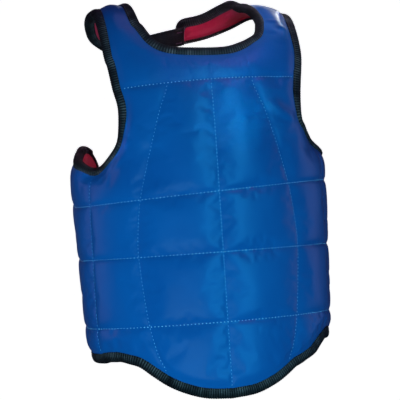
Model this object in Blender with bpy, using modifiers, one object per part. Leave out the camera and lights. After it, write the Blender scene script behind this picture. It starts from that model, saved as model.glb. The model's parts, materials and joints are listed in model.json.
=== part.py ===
"""Padded chest protector worn over the torso: a quilted front panel whose shoulder straps run over the
shoulders, two side wings closed across the back by elastic bands, and a padded band behind the neck.

Metres, +Z up, the front faces -Y and the wearer's left is +X. The origin is midway between the two shoulder
ridges, level with their crests.
"""

import bpy
import bmesh
import math
import numpy as np
from mathutils import Matrix

for obj in list(bpy.data.objects):
    bpy.data.objects.remove(obj, do_unlink=True)

# ---------------------------------------------------------------- driving dimensions
EYE = 0.325            # heights below are measured from mid chest; the origin is this much higher
HALF_W = 0.178         # half width of the torso section at mid chest, outside of the padding
W_TAPER = 0.0346       # growth of the half width per metre of height
HALF_D = 0.119         # half depth of the torso section at mid chest
D_TAPER = 0.020        # growth of the half depth per metre of height
Z_LEAN = 0.130         # height where the chest starts to lean back to the shoulders
RIDGE = 0.3346         # height of the shoulder ridge on the centre line
RIDGE_FALL = 0.0352    # how far the ridge falls towards the arms
RIDGE_TILT = 0.00933   # and how much lower the left strap sits, per radian
FULLER = 0.012         # extra depth of the upper chest
FULLER_L = 0.011       # and of the lower-hanging left shoulder, clear of the arm
ARC = 0.210            # arc length scale of the lean
V_RIDGE = Z_LEAN + ARC * math.pi / 2
PAD = 0.016            # thickness of the quilted padding
EDGE = 0.009           # thickness where the binding grips it
EDGE_FLAT = 0.015      # width of the thin margin
EDGE_FULL = 0.038      # distance from the edge where the padding is full
SKIN = 0.0010          # leather cover and lining
CLEAR = 0.0005         # between a skin and its foam
TAPE_W = 0.012         # width of the knitted binding on each face
TAPE_T = 0.0012
TAPE_CLEAR = 0.0018
OUTLINE_IN = 0.0032    # the padding stops this far inside the binding's fold
SEAM_IN = 0.0004       # half the gap at a hinge line
FOAM_IN = 0.0016       # foam blocks stop this far from every stitch line
WING_END = 140.0       # where the wings end, in degrees round the torso from the front
SEAM_MID, SEAM_LEAN = 67.8, 28.0   # side seam: degrees at mid chest, degrees per metre of height
BAND_H = 0.045         # elastic closing bands
BAND_T = 0.0018
BAND_MID = (-0.006, -0.088)
HOOK_T = 0.0015
LOOP_T = 0.0012
STRAP_PAD = 0.010      # padded straps behind the neck
NECK_W = 0.034         # elastic behind the neck
NECK_T = 0.0020

# a point on the axis that each moving group turns about, and the names its pieces start with
JOINTS = {
    "right_wing_hinge": ((-0.16549, -0.04538, -0.32503), ("right_wing_", "upper_band_anchor", "lower_band_anchor")),
    "left_wing_hinge": ((0.16549, -0.04538, -0.32503), ("left_wing_", "upper_loop_patch", "lower_loop_patch")),
    "upper_band_hinge": ((-0.13637, 0.08436, -0.33117), ("upper_band", "upper_hook_tab")),
    "lower_band_hinge": ((-0.13426, 0.08326, -0.41317), ("lower_band", "lower_hook_tab")),
    "neck_band_hinge": ((0.0, 0.0, 0.0032),("left_strap_", "right_strap_", "neck_elastic")),
}

# heights of the stitch lines across the front
H4, H3 = -0.1155, -0.0225
H2_MID, H2_LEAN = 0.0585, 0.0085
H1_MID = 0.2085

# edges as (degrees round the torso, height); None is the ridge
ARM_RIGHT = [(-47.0, None), (-47.0, 0.262), (-45.7, 0.235), (-44.5, 0.205), (-42.75, 0.178), (-43.9, 0.148),
             (-45.9, 0.1314), (-49.8, 0.120), (-56.5, 0.108), (-62.0, 0.100), (-68.0, 0.0975), (-80.0, 0.0975)]
ARM_LEFT = [(50.3, None), (50.3, 0.272), (50.6, 0.245), (50.0, 0.229), (48.0, 0.204), (47.0, 0.178),
            (48.0, 0.151), (50.5, 0.142), (52.9, 0.1334), (57.9, 0.1244), (65.0, 0.1180), (68.0, 0.1165), (80.0, 0.1145)]
NECK = [(-27.1, None), (-26.95, 0.303), (-25.6, 0.2908), (-21.7, 0.2697), (-14.8, 0.2579), (-2.9, 0.2538),
        (7.9, 0.2537), (14.8, 0.2591), (19.9, 0.2655), (24.1, 0.2735), (26.2, 0.2872), (27.0, 0.302), (25.0, None)]
HEM = [(0, -0.215), (12, -0.2116), (22, -0.2021), (30, -0.1907), (37, -0.1782), (44, -0.1670), (52, -0.1645),
       (60, -0.1610), (68, -0.157), (80, -0.156)]
PRINCESS = [(-0.190, 29.0), (-0.172, 30.3), (-0.154, 33.0), (-0.110, 36.4), (-0.040, 38.5), (0.0, 38.4),
            (0.052, 35.5), (0.088, 32.0), (0.125, 28.0), (0.165, 23.5), (0.205, 18.4), (0.240, 19.6), (0.272, 22.6)]
WING_TOP_R = [(68, 0.0985), (74, 0.1045), (80, 0.1110), (86, 0.1170), (92, 0.1225), (102, 0.1320), (109, 0.136), (118, 0.133),
              (127, 0.118), (134, 0.088), (138, 0.056), (140, 0.025)]
WING_TOP_L = [(68, 0.1165), (75, 0.1130), (82, 0.1115), (92, 0.1145), (102, 0.1280), (109, 0.136), (118, 0.133), (127, 0.118),
              (134, 0.088), (138, 0.056), (140, 0.025)]
WING_LOW = [(68, -0.157), (80, -0.156), (118, -0.155), (130, -0.151), (137, -0.141), (140, -0.122)]
# straps behind the neck: neck-side edge and arm-side edge, millimetres
STRAP_L_IN = [(78.4, 0, 316.5), (77.5, 16, 319.0), (72.5, 30, 323.5), (61, 56, 324), (37, 84, 318), (6, 97, 316)]
STRAP_L_OUT = [(142, 0, 298.2), (135, 28, 301.5), (112, 62, 313), (85, 98, 303), (50, 117, 292), (5, 130, 285)]
STRAP_R_IN = [(-85.4, 0, 323.8), (-84.5, 35, 320), (-78.5, 64, 311), (-68, 82, 303)]
STRAP_R_OUT = [(-136.7, 0, 315.6), (-140, 20, 313.5), (-138.5, 45, 306), (-130, 76, 293), (-116, 98, 285), (-94, 119, 275)]


# ---------------------------------------------------------------- smooth curves through design points
def smooth(points, count):
    """count points along a curve through the given ones, evenly spaced by length."""
    p = np.array(points, float)
    ends = np.vstack([2 * p[0] - p[1], p, 2 * p[-1] - p[-2]])
    fine = []
    for k in range(len(p) - 1):
        a, b, c, d = ends[k:k + 4]
        u = np.linspace(0, 1, 24, endpoint=False)[:, None]
        fine.append(0.5 * (2 * b + (c - a) * u + (2 * a - 5 * b + 4 * c - d) * u ** 2 + (3 * b - a - 3 * c + d) * u ** 3))
    fine = np.vstack(fine + [p[-1:]])
    run = np.r_[0, np.cumsum(np.linalg.norm(np.diff(fine, axis=0), axis=1))]
    want = np.linspace(0, run[-1], count)
    return np.stack([np.interp(want, run, fine[:, k]) for k in range(fine.shape[1])], 1)


def along(points):
    """y as a smooth function of x, through points sorted by x."""
    line = smooth([(x * 0.001 if abs(points[-1][0]) > 2 else x, y) for x, y in points], 400)
    scale = 0.001 if abs(points[-1][0]) > 2 else 1.0
    return lambda x: np.interp(np.asarray(x, float) * scale, line[:, 0], line[:, 1])


# ---------------------------------------------------------------- the torso surface
def ridge_of(t):
    return RIDGE - RIDGE_FALL * np.sin(t) ** 2 - RIDGE_TILT * t


def to_v(deg, z):
    if z is None:
        return V_RIDGE
    if z <= Z_LEAN:
        return z
    return Z_LEAN + ARC * math.asin(min(1.0, (z - Z_LEAN) / (ridge_of(math.radians(deg)) - Z_LEAN)))


def outer(t, v):
    """Outside of the padding at angle t (radians) and height v, which counts arc length above the chest."""
    t, v = np.broadcast_arrays(np.asarray(t, float), np.asarray(v, float))
    phi = np.maximum(v - Z_LEAN, 0) / ARC
    z = np.where(v > Z_LEAN, Z_LEAN + (ridge_of(t) - Z_LEAN) * np.sin(phi), v)
    a = HALF_W + W_TAPER * z
    u = np.clip((v - Z_LEAN) / 0.20, 0, 1)
    fuller = FULLER + FULLER_L * np.clip((t - 0.45) / 0.40, 0, 1) ** 2
    b = HALF_D + D_TAPER * np.minimum(z, Z_LEAN) + fuller * u * u * (3 - 2 * u)
    # the binding draws the edges in: the tops of the wings, under the arms and the ends of the hem
    lean = np.clip((np.abs(t) - 1.15) / 0.5, 0, 1) * np.clip((v - 0.07) / 0.06, 0, 1) ** 2 * 0.006
    roll = np.clip((v - 0.068 - 0.010 * np.sin(t)) / 0.035, 0, 1) ** 2 * np.clip((0.165 - v) / 0.035, 0, 1)
    lean = lean + (0.0035 - 0.0015 * np.sign(t)) * np.exp(-((np.abs(t) - 1.08) / 0.20) ** 2) * roll
    u = np.clip((np.abs(t) - 0.80) / 0.45, 0, 1)
    lean = lean + u * u * (3 - 2 * u) * (0.004 - 0.001 * np.sign(t)) * np.clip((-0.112 - v) / 0.046, 0, 1) ** 2
    return np.stack([(a - lean) * np.sin(t), -(b - lean) * np.cos(t) * np.cos(phi), z - EYE], -1)


def frame_at(t, v):
    e = 1e-4
    du = outer(np.asarray(t) + e, v) - outer(np.asarray(t) - e, v)
    dv = outer(t, np.asarray(v) + e) - outer(t, np.asarray(v) - e)
    n = np.cross(du, dv)
    n /= np.linalg.norm(n, axis=-1, keepdims=True)
    return du / (2 * e), dv / (2 * e), n


def at(t, v, off):
    """A point off metres outside the middle of the padding."""
    n = frame_at(t, v)[2]
    return outer(t, v) + n * (np.asarray(off)[..., None] - PAD / 2)


def edge_line(points, count):
    return smooth([(math.radians(d), to_v(d, z)) for d, z in points], count)


arm_r = edge_line(ARM_RIGHT, 500)
arm_l = edge_line(ARM_LEFT, 500)
neck = edge_line(NECK, 600)
hem_at = along(HEM)
princess_at = along(PRINCESS)
top_r, top_l, low_w = along(WING_TOP_R), along(WING_TOP_L), along(WING_LOW)


def seam_t(v):
    return np.radians(SEAM_MID - SEAM_LEAN * np.minimum(np.asarray(v, float), 0.12))


def corner_of(line, height):
    k = np.argmin(np.abs(line[:, 1] - to_v(0, height)) + (np.abs(line[:, 0]) > 1.0) * 9)
    return k


K_R, K_L = corner_of(arm_r, 0.1235), corner_of(arm_l, 0.138)
C_R, C_L = arm_r[K_R], arm_l[K_L]
upper_r, upper_l = arm_r[:K_R + 1][::-1], arm_l[:K_L + 1][::-1]
lower_r, lower_l = arm_r[K_R:][::-1], arm_l[K_L:]
NK_R = np.argmin(np.abs(neck[:, 0] - math.radians(-22.4)) + (neck[:, 1] > 0.33) * 9)
NK_L = np.argmin(np.abs(neck[:, 0] - math.radians(22.6)) + (neck[:, 1] > 0.33) * 9)
N_R, N_L = neck[NK_R], neck[NK_L]
neck_r, neck_l = neck[:NK_R + 1][::-1], neck[NK_L:]


def z_to_v(t, z):
    return np.where(z > Z_LEAN, Z_LEAN + ARC * np.arcsin(np.clip((z - Z_LEAN) / (ridge_of(t) - Z_LEAN), 0, 1)), z)


def v_to_z(t, v):
    return np.where(v > Z_LEAN, Z_LEAN + (ridge_of(t) - Z_LEAN) * np.sin(np.maximum(v - Z_LEAN, 0) / ARC), v)


def columns(v):
    """The seven lines that run up the front at height v: side, strap, princess, centre, princess, strap, side."""
    t0 = -float(seam_t(v))
    t6 = float(seam_t(v))
    low = -0.16
    g = (v - low) / (C_R[1] - low)
    t1 = math.radians(-50) + (C_R[0] - math.radians(-50)) * g if v < C_R[1] else float(np.interp(v, upper_r[:, 1], upper_r[:, 0]))
    g = (v - low) / (C_L[1] - low)
    t5 = math.radians(50) + (C_L[0] - math.radians(50)) * g if v < C_L[1] else float(np.interp(v, upper_l[:, 1], upper_l[:, 0]))
    p = math.radians(float(princess_at(float(v_to_z(math.radians(22), np.array(v))))))
    t2 = -p if v < N_R[1] else float(np.interp(v, neck_r[:, 1], neck_r[:, 0]))
    t4 = p if v < N_L[1] else float(np.interp(v, neck_l[:, 1], neck_l[:, 0]))
    return t0, t1, t2, 0.0, t4, t5, t6


def rows(t):
    """The lines that run across the front at angle t: hem, its margin, three stitch lines, strap base, yoke, neck, ridge."""
    d = math.degrees(t)
    if t < C_R[0]:
        base = float(np.interp(t, lower_r[:, 0], lower_r[:, 1]))
    elif t > C_L[0]:
        base = float(np.interp(t, lower_l[:, 0], lower_l[:, 1]))
    else:
        base = float(np.interp(t, [C_R[0], C_L[0]], [C_R[1], C_L[1]]))
    yoke = H1_MID + 0.004 * math.sin(t) - 0.006 * math.sin(t) ** 2
    yoke = float(z_to_v(t, np.array(yoke)))
    if N_R[0] <= t <= N_L[0]:
        mid = neck[NK_R:NK_L + 1]
        top = float(np.interp(t, mid[:, 0], mid[:, 1]))
    else:
        top = N_R[1] if t < 0 else N_L[1]
    h2 = H2_MID + H2_LEAN * math.sin(t)
    low = float(hem_at(abs(d)))
    return low, low + EDGE_FLAT, H4, H3, h2, base, yoke, top, V_RIDGE


COLS = (3, 3, 4, 4, 3, 3)
ROWS = (1, 2, 3, 3, 3, 3, 3, 9)
BASE_ROW = 5            # rows of lines below this one reach from side to side


def spread(counts):
    out = []
    for k, n in enumerate(counts):
        out += [(k, i / n) for i in range(n)]
    return out + [(len(counts) - 1, 1.0)]


def front_grid():
    ci, rj = spread(COLS), spread(ROWS)
    T, V = np.zeros((len(ci), len(rj))), np.zeros((len(ci), len(rj)))
    for i, (c, f) in enumerate(ci):
        for j, (r, g) in enumerate(rj):
            v = 0.0 if r < BASE_ROW else 0.25
            for _ in range(60):
                cols = columns(v)
                t = cols[c] + f * (cols[c + 1] - cols[c])
                line = rows(t)
                v += 0.6 * (line[r] + g * (line[r + 1] - line[r]) - v)
            T[i, j], V[i, j] = t, v
    mask = np.zeros((len(ci) - 1, len(rj) - 1), bool)
    c_of = np.array([c for c, f in ci[:-1]])
    r_of = np.array([r for r, g in rj[:-1]])
    for i in range(mask.shape[0]):
        for j in range(mask.shape[1]):
            c, r = c_of[i], r_of[j]
            mask[i, j] = r < BASE_ROW or (r < BASE_ROW + 2 and c in (1, 2, 3, 4)) or c in (1, 4)
    return T, V, mask, c_of, r_of


WING_ROWS = (2, 3, 3, 2)
WING_COLS = 11


def wing_grid(sign):
    top = top_l if sign > 0 else top_r
    rj = spread(WING_ROWS)
    T, V = np.zeros((WING_COLS + 1, len(rj))), np.zeros((WING_COLS + 1, len(rj)))
    for i in range(WING_COLS + 1):
        f = 1 - (1 - i / WING_COLS) ** 1.35
        for j, (r, g) in enumerate(rj):
            v = 0.0
            for _ in range(40):
                s = math.degrees(float(seam_t(v)))
                d = s + f * (WING_END - s)
                lo, hi = float(low_w(max(d, 68))), float(top(max(d, 68)))
                blend = max(0.0, (d - 85) / (WING_END - 85))
                marks = [lo, H4, H3, H2_MID + sign * H2_LEAN * 0.93, hi]
                even = [lo + (hi - lo) * q for q in (0, 0.22, 0.53, 0.83, 1)]
                marks = [m + (e - m) * blend for m, e in zip(marks, even)]
                v += 0.7 * (marks[r] + g * (marks[r + 1] - marks[r]) - v)
            T[i, j], V[i, j] = math.radians(d) * sign, v
    return T, V, np.ones((WING_COLS, len(rj) - 1), bool), np.array([r for r, g in rj[:-1]])


# ---------------------------------------------------------------- edges, and how thick the padding is near them
def wing_edge(sign):
    top = top_l if sign > 0 else top_r
    d = np.linspace(68, WING_END, 120)
    up = np.stack([np.radians(d), top(d)], 1)
    down = np.stack([np.radians(d[::-1]), low_w(d[::-1])], 1)
    end = np.stack([np.full(60, up[-1, 0]), np.linspace(up[-1, 1], down[0, 1], 60)], 1)
    line = np.vstack([up, end[1:-1], down])
    line[:, 0] *= sign
    return line


hem_line = np.stack([np.radians(np.linspace(-80, 80, 300)), hem_at(np.abs(np.linspace(-80, 80, 300)))], 1)
wing_r, wing_l = wing_edge(-1), wing_edge(1)
front_arm_r = arm_r[np.abs(arm_r[:, 0]) <= seam_t(0.09) + 0.01]
front_arm_l = arm_l[np.abs(arm_l[:, 0]) <= seam_t(0.10) + 0.01]
edges = np.vstack([outer(line[:, 0], line[:, 1]) for line in (front_arm_r, front_arm_l, neck, hem_line, wing_r, wing_l)])


def half_thick(t, v):
    p = outer(t, v)
    d = np.sqrt(((p[..., None, :] - edges) ** 2).sum(-1)).min(-1)
    u = np.clip((d - EDGE_FLAT) / (EDGE_FULL - EDGE_FLAT), 0, 1)
    return EDGE / 2 + (PAD - EDGE) / 2 * u * u * (3 - 2 * u)


# ---------------------------------------------------------------- meshes
model = bpy.data.collections.new("chest_protector")
bpy.context.scene.collection.children.link(model)


def material(name, colour, rough, metal=0.0):
    m = bpy.data.materials.get(name) or bpy.data.materials.new(name)
    m.use_nodes = True
    shader = m.node_tree.nodes["Principled BSDF"]
    shader.inputs["Base Color"].default_value = (*colour, 1)
    shader.inputs["Roughness"].default_value = rough
    shader.inputs["Metallic"].default_value = metal
    return m


def add(name, points, faces, slot):
    mesh = bpy.data.meshes.new(name)
    mesh.from_pydata([tuple(p) for p in points], [], faces)
    obj = bpy.data.objects.new(name, mesh)
    model.objects.link(obj)
    bm = bmesh.new()
    bm.from_mesh(mesh)
    loose = [v for v in bm.verts if not v.link_faces]
    bmesh.ops.delete(bm, geom=loose, context="VERTS")
    bm.to_mesh(mesh)
    bm.free()
    look = LOOKS[slot]
    mesh.materials.append(material(f"{name}_{slot}", *look))
    return obj


def solid(obj, thickness, side):
    """Gives a sheet its thickness: side 1 adds it outside the sheet, -1 inside."""
    m = obj.modifiers.new("thickness", "SOLIDIFY")
    m.thickness = thickness
    m.offset = side
    m.use_even_offset = True
    m.use_rim = True
    return obj


LOOKS = {
    "blue_leather": ((0.005, 0.085, 0.352), 0.42),
    "red_leather": ((0.56, 0.010, 0.032), 0.45),
    "foam": ((0.10, 0.10, 0.11), 0.9),
    "knit_tape": ((0.010, 0.011, 0.011), 0.85),
    "elastic": ((0.012, 0.012, 0.013), 0.8),
    "hook": ((0.015, 0.015, 0.016), 0.7),
    "loop": ((0.02, 0.02, 0.021), 0.95),
}


def on_border(mask, i, j):
    return not mask[max(i - 1, 0):i + 1, max(j - 1, 0):j + 1].all() or i in (0, mask.shape[0]) or j in (0, mask.shape[1])


def pulled_in(T, V, mask, gap):
    """Moves the border points of a masked grid inwards; gap(i, j) says how far, in metres."""
    T2, V2 = T.copy(), V.copy()
    ni, nj = mask.shape
    for i in range(ni + 1):
        for j in range(nj + 1):
            near = [(a, b) for a in (i - 1, i) for b in (j - 1, j) if 0 <= a < ni and 0 <= b < nj and mask[a, b]]
            if not near or len(near) == 4:
                continue
            dt = dv = 0.0
            for a, b in near:
                dt += T[a:a + 2, b:b + 2].mean() - T[i, j]
                dv += V[a:a + 2, b:b + 2].mean() - V[i, j]
            if len(near) == 2 and near[0][0] != near[1][0]:
                k = j - 1 if near[0][1] == j - 1 else j + 1
                dt, dv = T[i, k] - T[i, j], V[i, k] - V[i, j]
            elif len(near) == 2:
                k = i - 1 if near[0][0] == i - 1 else i + 1
                dt, dv = T[k, j] - T[i, j], V[k, j] - V[i, j]
            step = outer(T[i, j] + dt * 1e-3, V[i, j] + dv * 1e-3) - outer(T[i, j], V[i, j])
            length = np.linalg.norm(step) * 1e3
            amount = gap(i, j) * (1.35 if len(near) == 1 else 1.0)
            T2[i, j] += dt * amount / length
            V2[i, j] += dv * amount / length
    return T2, V2


def sheet_faces(mask, flip=False):
    nj = mask.shape[1] + 1
    faces = []
    for i, j in np.argwhere(mask):
        f = [i * nj + j, (i + 1) * nj + j, (i + 1) * nj + j + 1, i * nj + j + 1]
        faces.append([int(x) for x in (f[::-1] if flip else f)])
    return faces


def skin(name, T, V, mask, slot, inside):
    """A leather sheet over the padding, outside or inside."""
    h = half_thick(T, V)
    p = at(T, V, -h if inside else h)
    obj = add(name, p.reshape(-1, 3), sheet_faces(mask, flip=inside), slot)
    return solid(obj, SKIN, -1)


def block(name, T, V, mask, slot):
    """A foam block lofted from its outer face to its inner face."""
    h = half_thick(T, V) - SKIN - CLEAR
    out, inn = at(T, V, h).reshape(-1, 3), at(T, V, -h).reshape(-1, 3)
    count = len(out)
    faces = sheet_faces(mask) + [[x + count for x in f] for f in sheet_faces(mask, flip=True)]
    nj = mask.shape[1] + 1
    pairs = {}
    for f in sheet_faces(mask):
        for k in range(4):
            pairs[(f[k], f[(k + 1) % 4])] = True
    for a, b in pairs:
        if (b, a) not in pairs:
            faces.append([b, a, a + count, b + count])
    return add(name, np.vstack([out, inn]), faces, slot)


def tape(name, line, count, inward, slot="knit_tape", ends=(0.0, 0.0)):
    """Binding folded round an edge: line is (angle, height), inward +1 when the padding is left of the line."""
    run = np.r_[0, np.cumsum(np.linalg.norm(np.diff(outer(line[:, 0], line[:, 1]), axis=0), axis=1))]
    want = np.linspace(ends[0], run[-1] - ends[1], count)
    t, v = np.interp(want, run, line[:, 0]), np.interp(want, run, line[:, 1])
    p = outer(t, v)
    tangent = np.gradient(p, axis=0)
    tangent /= np.linalg.norm(tangent, axis=1, keepdims=True)
    du, dv, n = frame_at(t, v)
    side = np.cross(n, tangent) * inward
    h = EDGE / 2 + TAPE_CLEAR
    across = []
    for depth, off in ((TAPE_W, h), (0.0, h), (0.0, -h), (TAPE_W, -h)):
        step = side * depth
        gram = np.stack([np.stack([(du * du).sum(1), (du * dv).sum(1)], 1), np.stack([(du * dv).sum(1), (dv * dv).sum(1)], 1)], 1)
        rhs = np.stack([(du * step).sum(1), (dv * step).sum(1)], 1)
        move = np.linalg.solve(gram, rhs[..., None])[..., 0]
        across.append(at(t + move[:, 0], v + move[:, 1], np.full(count, off)))
    grid = np.stack(across, 1)
    mask = np.ones((count - 1, len(across) - 1), bool)
    obj = add(name, grid.reshape(-1, 3), sheet_faces(mask, flip=inward > 0), slot)
    return solid(obj, TAPE_T, 1)


# ---------------------------------------------------------------- front panel
T, V, mask, c_of, r_of = front_grid()
last_i, last_j = mask.shape


def front_gap(i, j):
    at_seam = i in (0, last_i) and 0 < j < sum(ROWS[:BASE_ROW])
    return SEAM_IN if at_seam or (j == last_j and not is_edge_col(i)) else OUTLINE_IN


def is_edge_col(i):
    return i in (COLS[0], COLS[0] + COLS[1], last_i - COLS[0] - COLS[1], last_i - COLS[0])


def foam_gap(i, j):
    return max(FOAM_IN, front_gap(i, j)) if on_border(mask, i, j) else FOAM_IN


Tc, Vc = pulled_in(T, V, mask, front_gap)
skin("front_cover", Tc, Vc, mask, "blue_leather", False)
skin("front_lining", Tc, Vc, mask, "red_leather", True)

ROW_NAMES = ("hem", "belly", "rib", "chest")
COL_NAMES = ("side_right", "centre_right", "centre_left", "side_left")
COL_OF = {0: 0, 1: 0, 2: 1, 3: 2, 4: 3, 5: 3}
FOAM_ROW = (0, 0, 1, 2, 3, 3, 4, 4)
for r, row_name in enumerate(ROW_NAMES):
    for c, col_name in enumerate(COL_NAMES):
        part = np.zeros_like(mask)
        for i in range(mask.shape[0]):
            for j in range(mask.shape[1]):
                part[i, j] = mask[i, j] and FOAM_ROW[r_of[j]] == r and COL_OF[c_of[i]] == c
        Tf, Vf = pulled_in(T, V, part, foam_gap)
        block(f"foam_{row_name}_{col_name}", Tf, Vf, part, "foam")
part = mask & (r_of >= BASE_ROW + 1)[None, :]
Tf, Vf = pulled_in(T, V, part, foam_gap)
block("foam_yoke", Tf, Vf, part, "foam")

RIDGE_CUT = 0.0008
tape("neckline_binding", neck, 44, -1, ends=(RIDGE_CUT, RIDGE_CUT))


def cut_at_seam(line):
    keep = np.abs(line[:, 0]) <= seam_t(line[:, 1])
    return line[:np.argmin(keep)] if not keep.all() else line


tape("right_armhole_binding", cut_at_seam(arm_r), 36, 1, ends=(RIDGE_CUT, SEAM_IN))
tape("left_armhole_binding", cut_at_seam(arm_l), 36, -1, ends=(RIDGE_CUT, SEAM_IN))
hem_front = hem_line[np.abs(hem_line[:, 0]) <= seam_t(hem_line[:, 1])]
tape("hem_binding", hem_front, 40, 1, ends=(SEAM_IN, SEAM_IN))

# ---------------------------------------------------------------- wings
WING_NAMES = ("hem", "belly", "rib", "chest")
for sign, side in ((-1, "right"), (1, "left")):
    T, V, wmask, w_of = wing_grid(sign)
    ni, nj = wmask.shape
    if sign < 0:
        T, V, wmask = T[::-1], V[::-1], wmask[::-1]
    seam_i = 0 if sign > 0 else ni
    Tc, Vc = pulled_in(T, V, wmask, lambda i, j: SEAM_IN if i == seam_i and 0 < j < nj else OUTLINE_IN)
    skin(f"{side}_wing_cover", Tc, Vc, wmask, "blue_leather", False)
    skin(f"{side}_wing_lining", Tc, Vc, wmask, "red_leather", True)
    for r, row_name in enumerate(WING_NAMES):
        part = wmask & (w_of == r)[None, :]
        Tf, Vf = pulled_in(T, V, part, lambda i, j: OUTLINE_IN if i == ni - seam_i or (j in (0, nj) and i != seam_i) else FOAM_IN)
        block(f"{side}_wing_foam_{row_name}", Tf, Vf, part, "foam")
    line = wing_r if sign < 0 else wing_l
    line = line[np.abs(line[:, 0]) >= seam_t(line[:, 1])]
    tape(f"{side}_wing_binding", line, 52, -sign, ends=(SEAM_IN, SEAM_IN))

# ---------------------------------------------------------------- closing bands across the back
REST = 0.0012 + EDGE / 2 + TAPE_CLEAR + 0.0004      # clear of the binding at the wing ends


def lie_on(t, z):
    """Height of the wing's outer face above the middle of its padding, kept clear of the binding."""
    wrap = np.where(np.abs(t) > math.pi, t - np.sign(t) * 2 * math.pi, t)
    inside = np.abs(wrap) < math.radians(WING_END)
    return np.where(inside, np.maximum(half_thick(np.where(inside, wrap, 0.0), z), REST), REST)


def strip(name, d0, d1, z_mid, height, lift, thick, slot, steps, lower=0.0):
    """A flat strip on the outside of the torso from d0 to d1 degrees, counted onwards round the back."""
    t = np.radians(np.linspace(d0, d1, steps))
    z = np.linspace(z_mid - height / 2, z_mid + height / 2, 3)
    Tg, Zg = np.meshgrid(t, z, indexing="ij")
    # the strip hangs straight, so its height above the padding is the same from edge to edge
    rest = lie_on(Tg, Zg).max(1, keepdims=True) + 0 * Tg
    p = at(Tg, Zg, rest + lift)
    obj = add(name, p.reshape(-1, 3), sheet_faces(np.ones((steps - 1, 2), bool)), slot)
    return solid(obj, thick, 1)


STEP = 0.0004
for z_mid, level in zip(BAND_MID, ("upper", "lower")):
    loop_up = STEP
    hook_up = loop_up + LOOP_T + STEP
    band_up = hook_up + HOOK_T + STEP
    strip(f"{level}_loop_patch", 117, 134, z_mid, BAND_H + 0.006, loop_up, LOOP_T, "loop", 6)
    strip(f"{level}_hook_tab", 119, 131, z_mid, BAND_H - 0.004, hook_up, HOOK_T, "hook", 5)
    strip(f"{level}_band", 118, 228, z_mid, BAND_H, band_up, BAND_T, "elastic", 27)
    strip(f"{level}_band_anchor", 228.4, 236, z_mid, BAND_H, STEP, band_up + BAND_T - STEP, "elastic", 4)


# ---------------------------------------------------------------- padded band behind the neck
def strap_grid(edge_in, edge_out, n_along, n_across):
    a = smooth(np.array(edge_in) * 0.001, n_along)
    b = smooth(np.array(edge_out) * 0.001, n_along)
    f = np.linspace(0, 1, n_across)[None, :, None]
    p = a[:, None] * (1 - f) + b[:, None] * f
    p[..., 2] -= EYE
    return p


def normals_of(p):
    n = np.cross(np.gradient(p, axis=0), np.gradient(p, axis=1))
    return n / np.linalg.norm(n, axis=-1, keepdims=True)


def inset(p, start, end, sides):
    """Cuts a ribbon back, in metres, at its start, its end and its two long sides."""
    mid = p[:, p.shape[1] // 2]
    run = np.r_[0, np.cumsum(np.linalg.norm(np.diff(mid, axis=0), axis=1))]
    want = np.linspace(start, run[-1] - end, p.shape[0])
    q = np.stack([np.stack([np.interp(want, run, p[:, k, m]) for m in range(3)], 1) for k in range(p.shape[1])], 1)
    wide = np.linalg.norm(q[:, -1] - q[:, 0], axis=1)
    f0 = (sides / wide)[:, None, None]
    f = np.linspace(0, 1, q.shape[1])[None, :, None] * (1 - 2 * f0) + f0
    return q[:, :1] * (1 - f) + q[:, -1:] * f


def ribbon_faces(n, m, flip):
    return sheet_faces(np.ones((n - 1, m - 1), bool), flip)


for sign, side, e_in, e_out in ((1, "left", STRAP_L_IN, STRAP_L_OUT), (-1, "right", STRAP_R_IN, STRAP_R_OUT)):
    full = strap_grid(e_in, e_out, 15, 5)
    up = -sign   # makes the normals point away from the wearer
    half = STRAP_PAD / 2
    body = inset(full, 0.0030, OUTLINE_IN, OUTLINE_IN)
    nb = normals_of(body) * up
    n, m = body.shape[:2]
    flip = up < 0
    solid(add(f"{side}_strap_cover", (body + nb * half).reshape(-1, 3), ribbon_faces(n, m, flip), "blue_leather"), SKIN, -1)
    solid(add(f"{side}_strap_lining", (body - nb * half).reshape(-1, 3), ribbon_faces(n, m, not flip), "red_leather"), SKIN, -1)
    core = inset(full, 0.0042, 0.004, 0.004)
    nc = normals_of(core) * up
    foam = add(f"{side}_strap_foam", (core + nc * (half - SKIN - CLEAR)).reshape(-1, 3), ribbon_faces(n, m, flip), "foam")
    solid(foam, STRAP_PAD - 2 * (SKIN + CLEAR), -1)
    # binding along the neck side, round the end and back along the arm side
    trim = inset(full, 0.0030, 0.0, 0.0)
    nt = normals_of(trim) * up
    a, b = trim[:, 0], trim[:, -1]
    grip = half + TAPE_CLEAR
    loop, loop_in, loop_n = [], [], []
    for k in range(n):
        d = (b[k] - a[k]) / np.linalg.norm(b[k] - a[k])
        loop.append(a[k]); loop_in.append(d); loop_n.append(nt[k, 0])
    back = (trim[-2, 2] - trim[-1, 2]) / np.linalg.norm(trim[-2, 2] - trim[-1, 2])
    loop_in[-1] = (loop_in[-1] + back)
    for k in (1, 2, 3):
        loop.append(trim[-1, k]); loop_in.append(back); loop_n.append(nt[-1, k])
    for k in range(n - 1, -1, -1):
        d = (a[k] - b[k]) / np.linalg.norm(b[k] - a[k])
        loop.append(b[k]); loop_in.append(d + back if k == n - 1 else d); loop_n.append(nt[k, -1])
    loop, loop_in, loop_n = map(np.array, (loop, loop_in, loop_n))
    rings = [loop + loop_in * w + loop_n * o for w, o in ((TAPE_W, grip), (0.0, grip), (0.0, -grip), (TAPE_W, -grip))]
    grid = np.stack(rings, 1)
    solid(add(f"{side}_strap_binding", grid.reshape(-1, 3), ribbon_faces(len(loop), 4, sign < 0), "knit_tape"), TAPE_T, 1)

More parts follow.
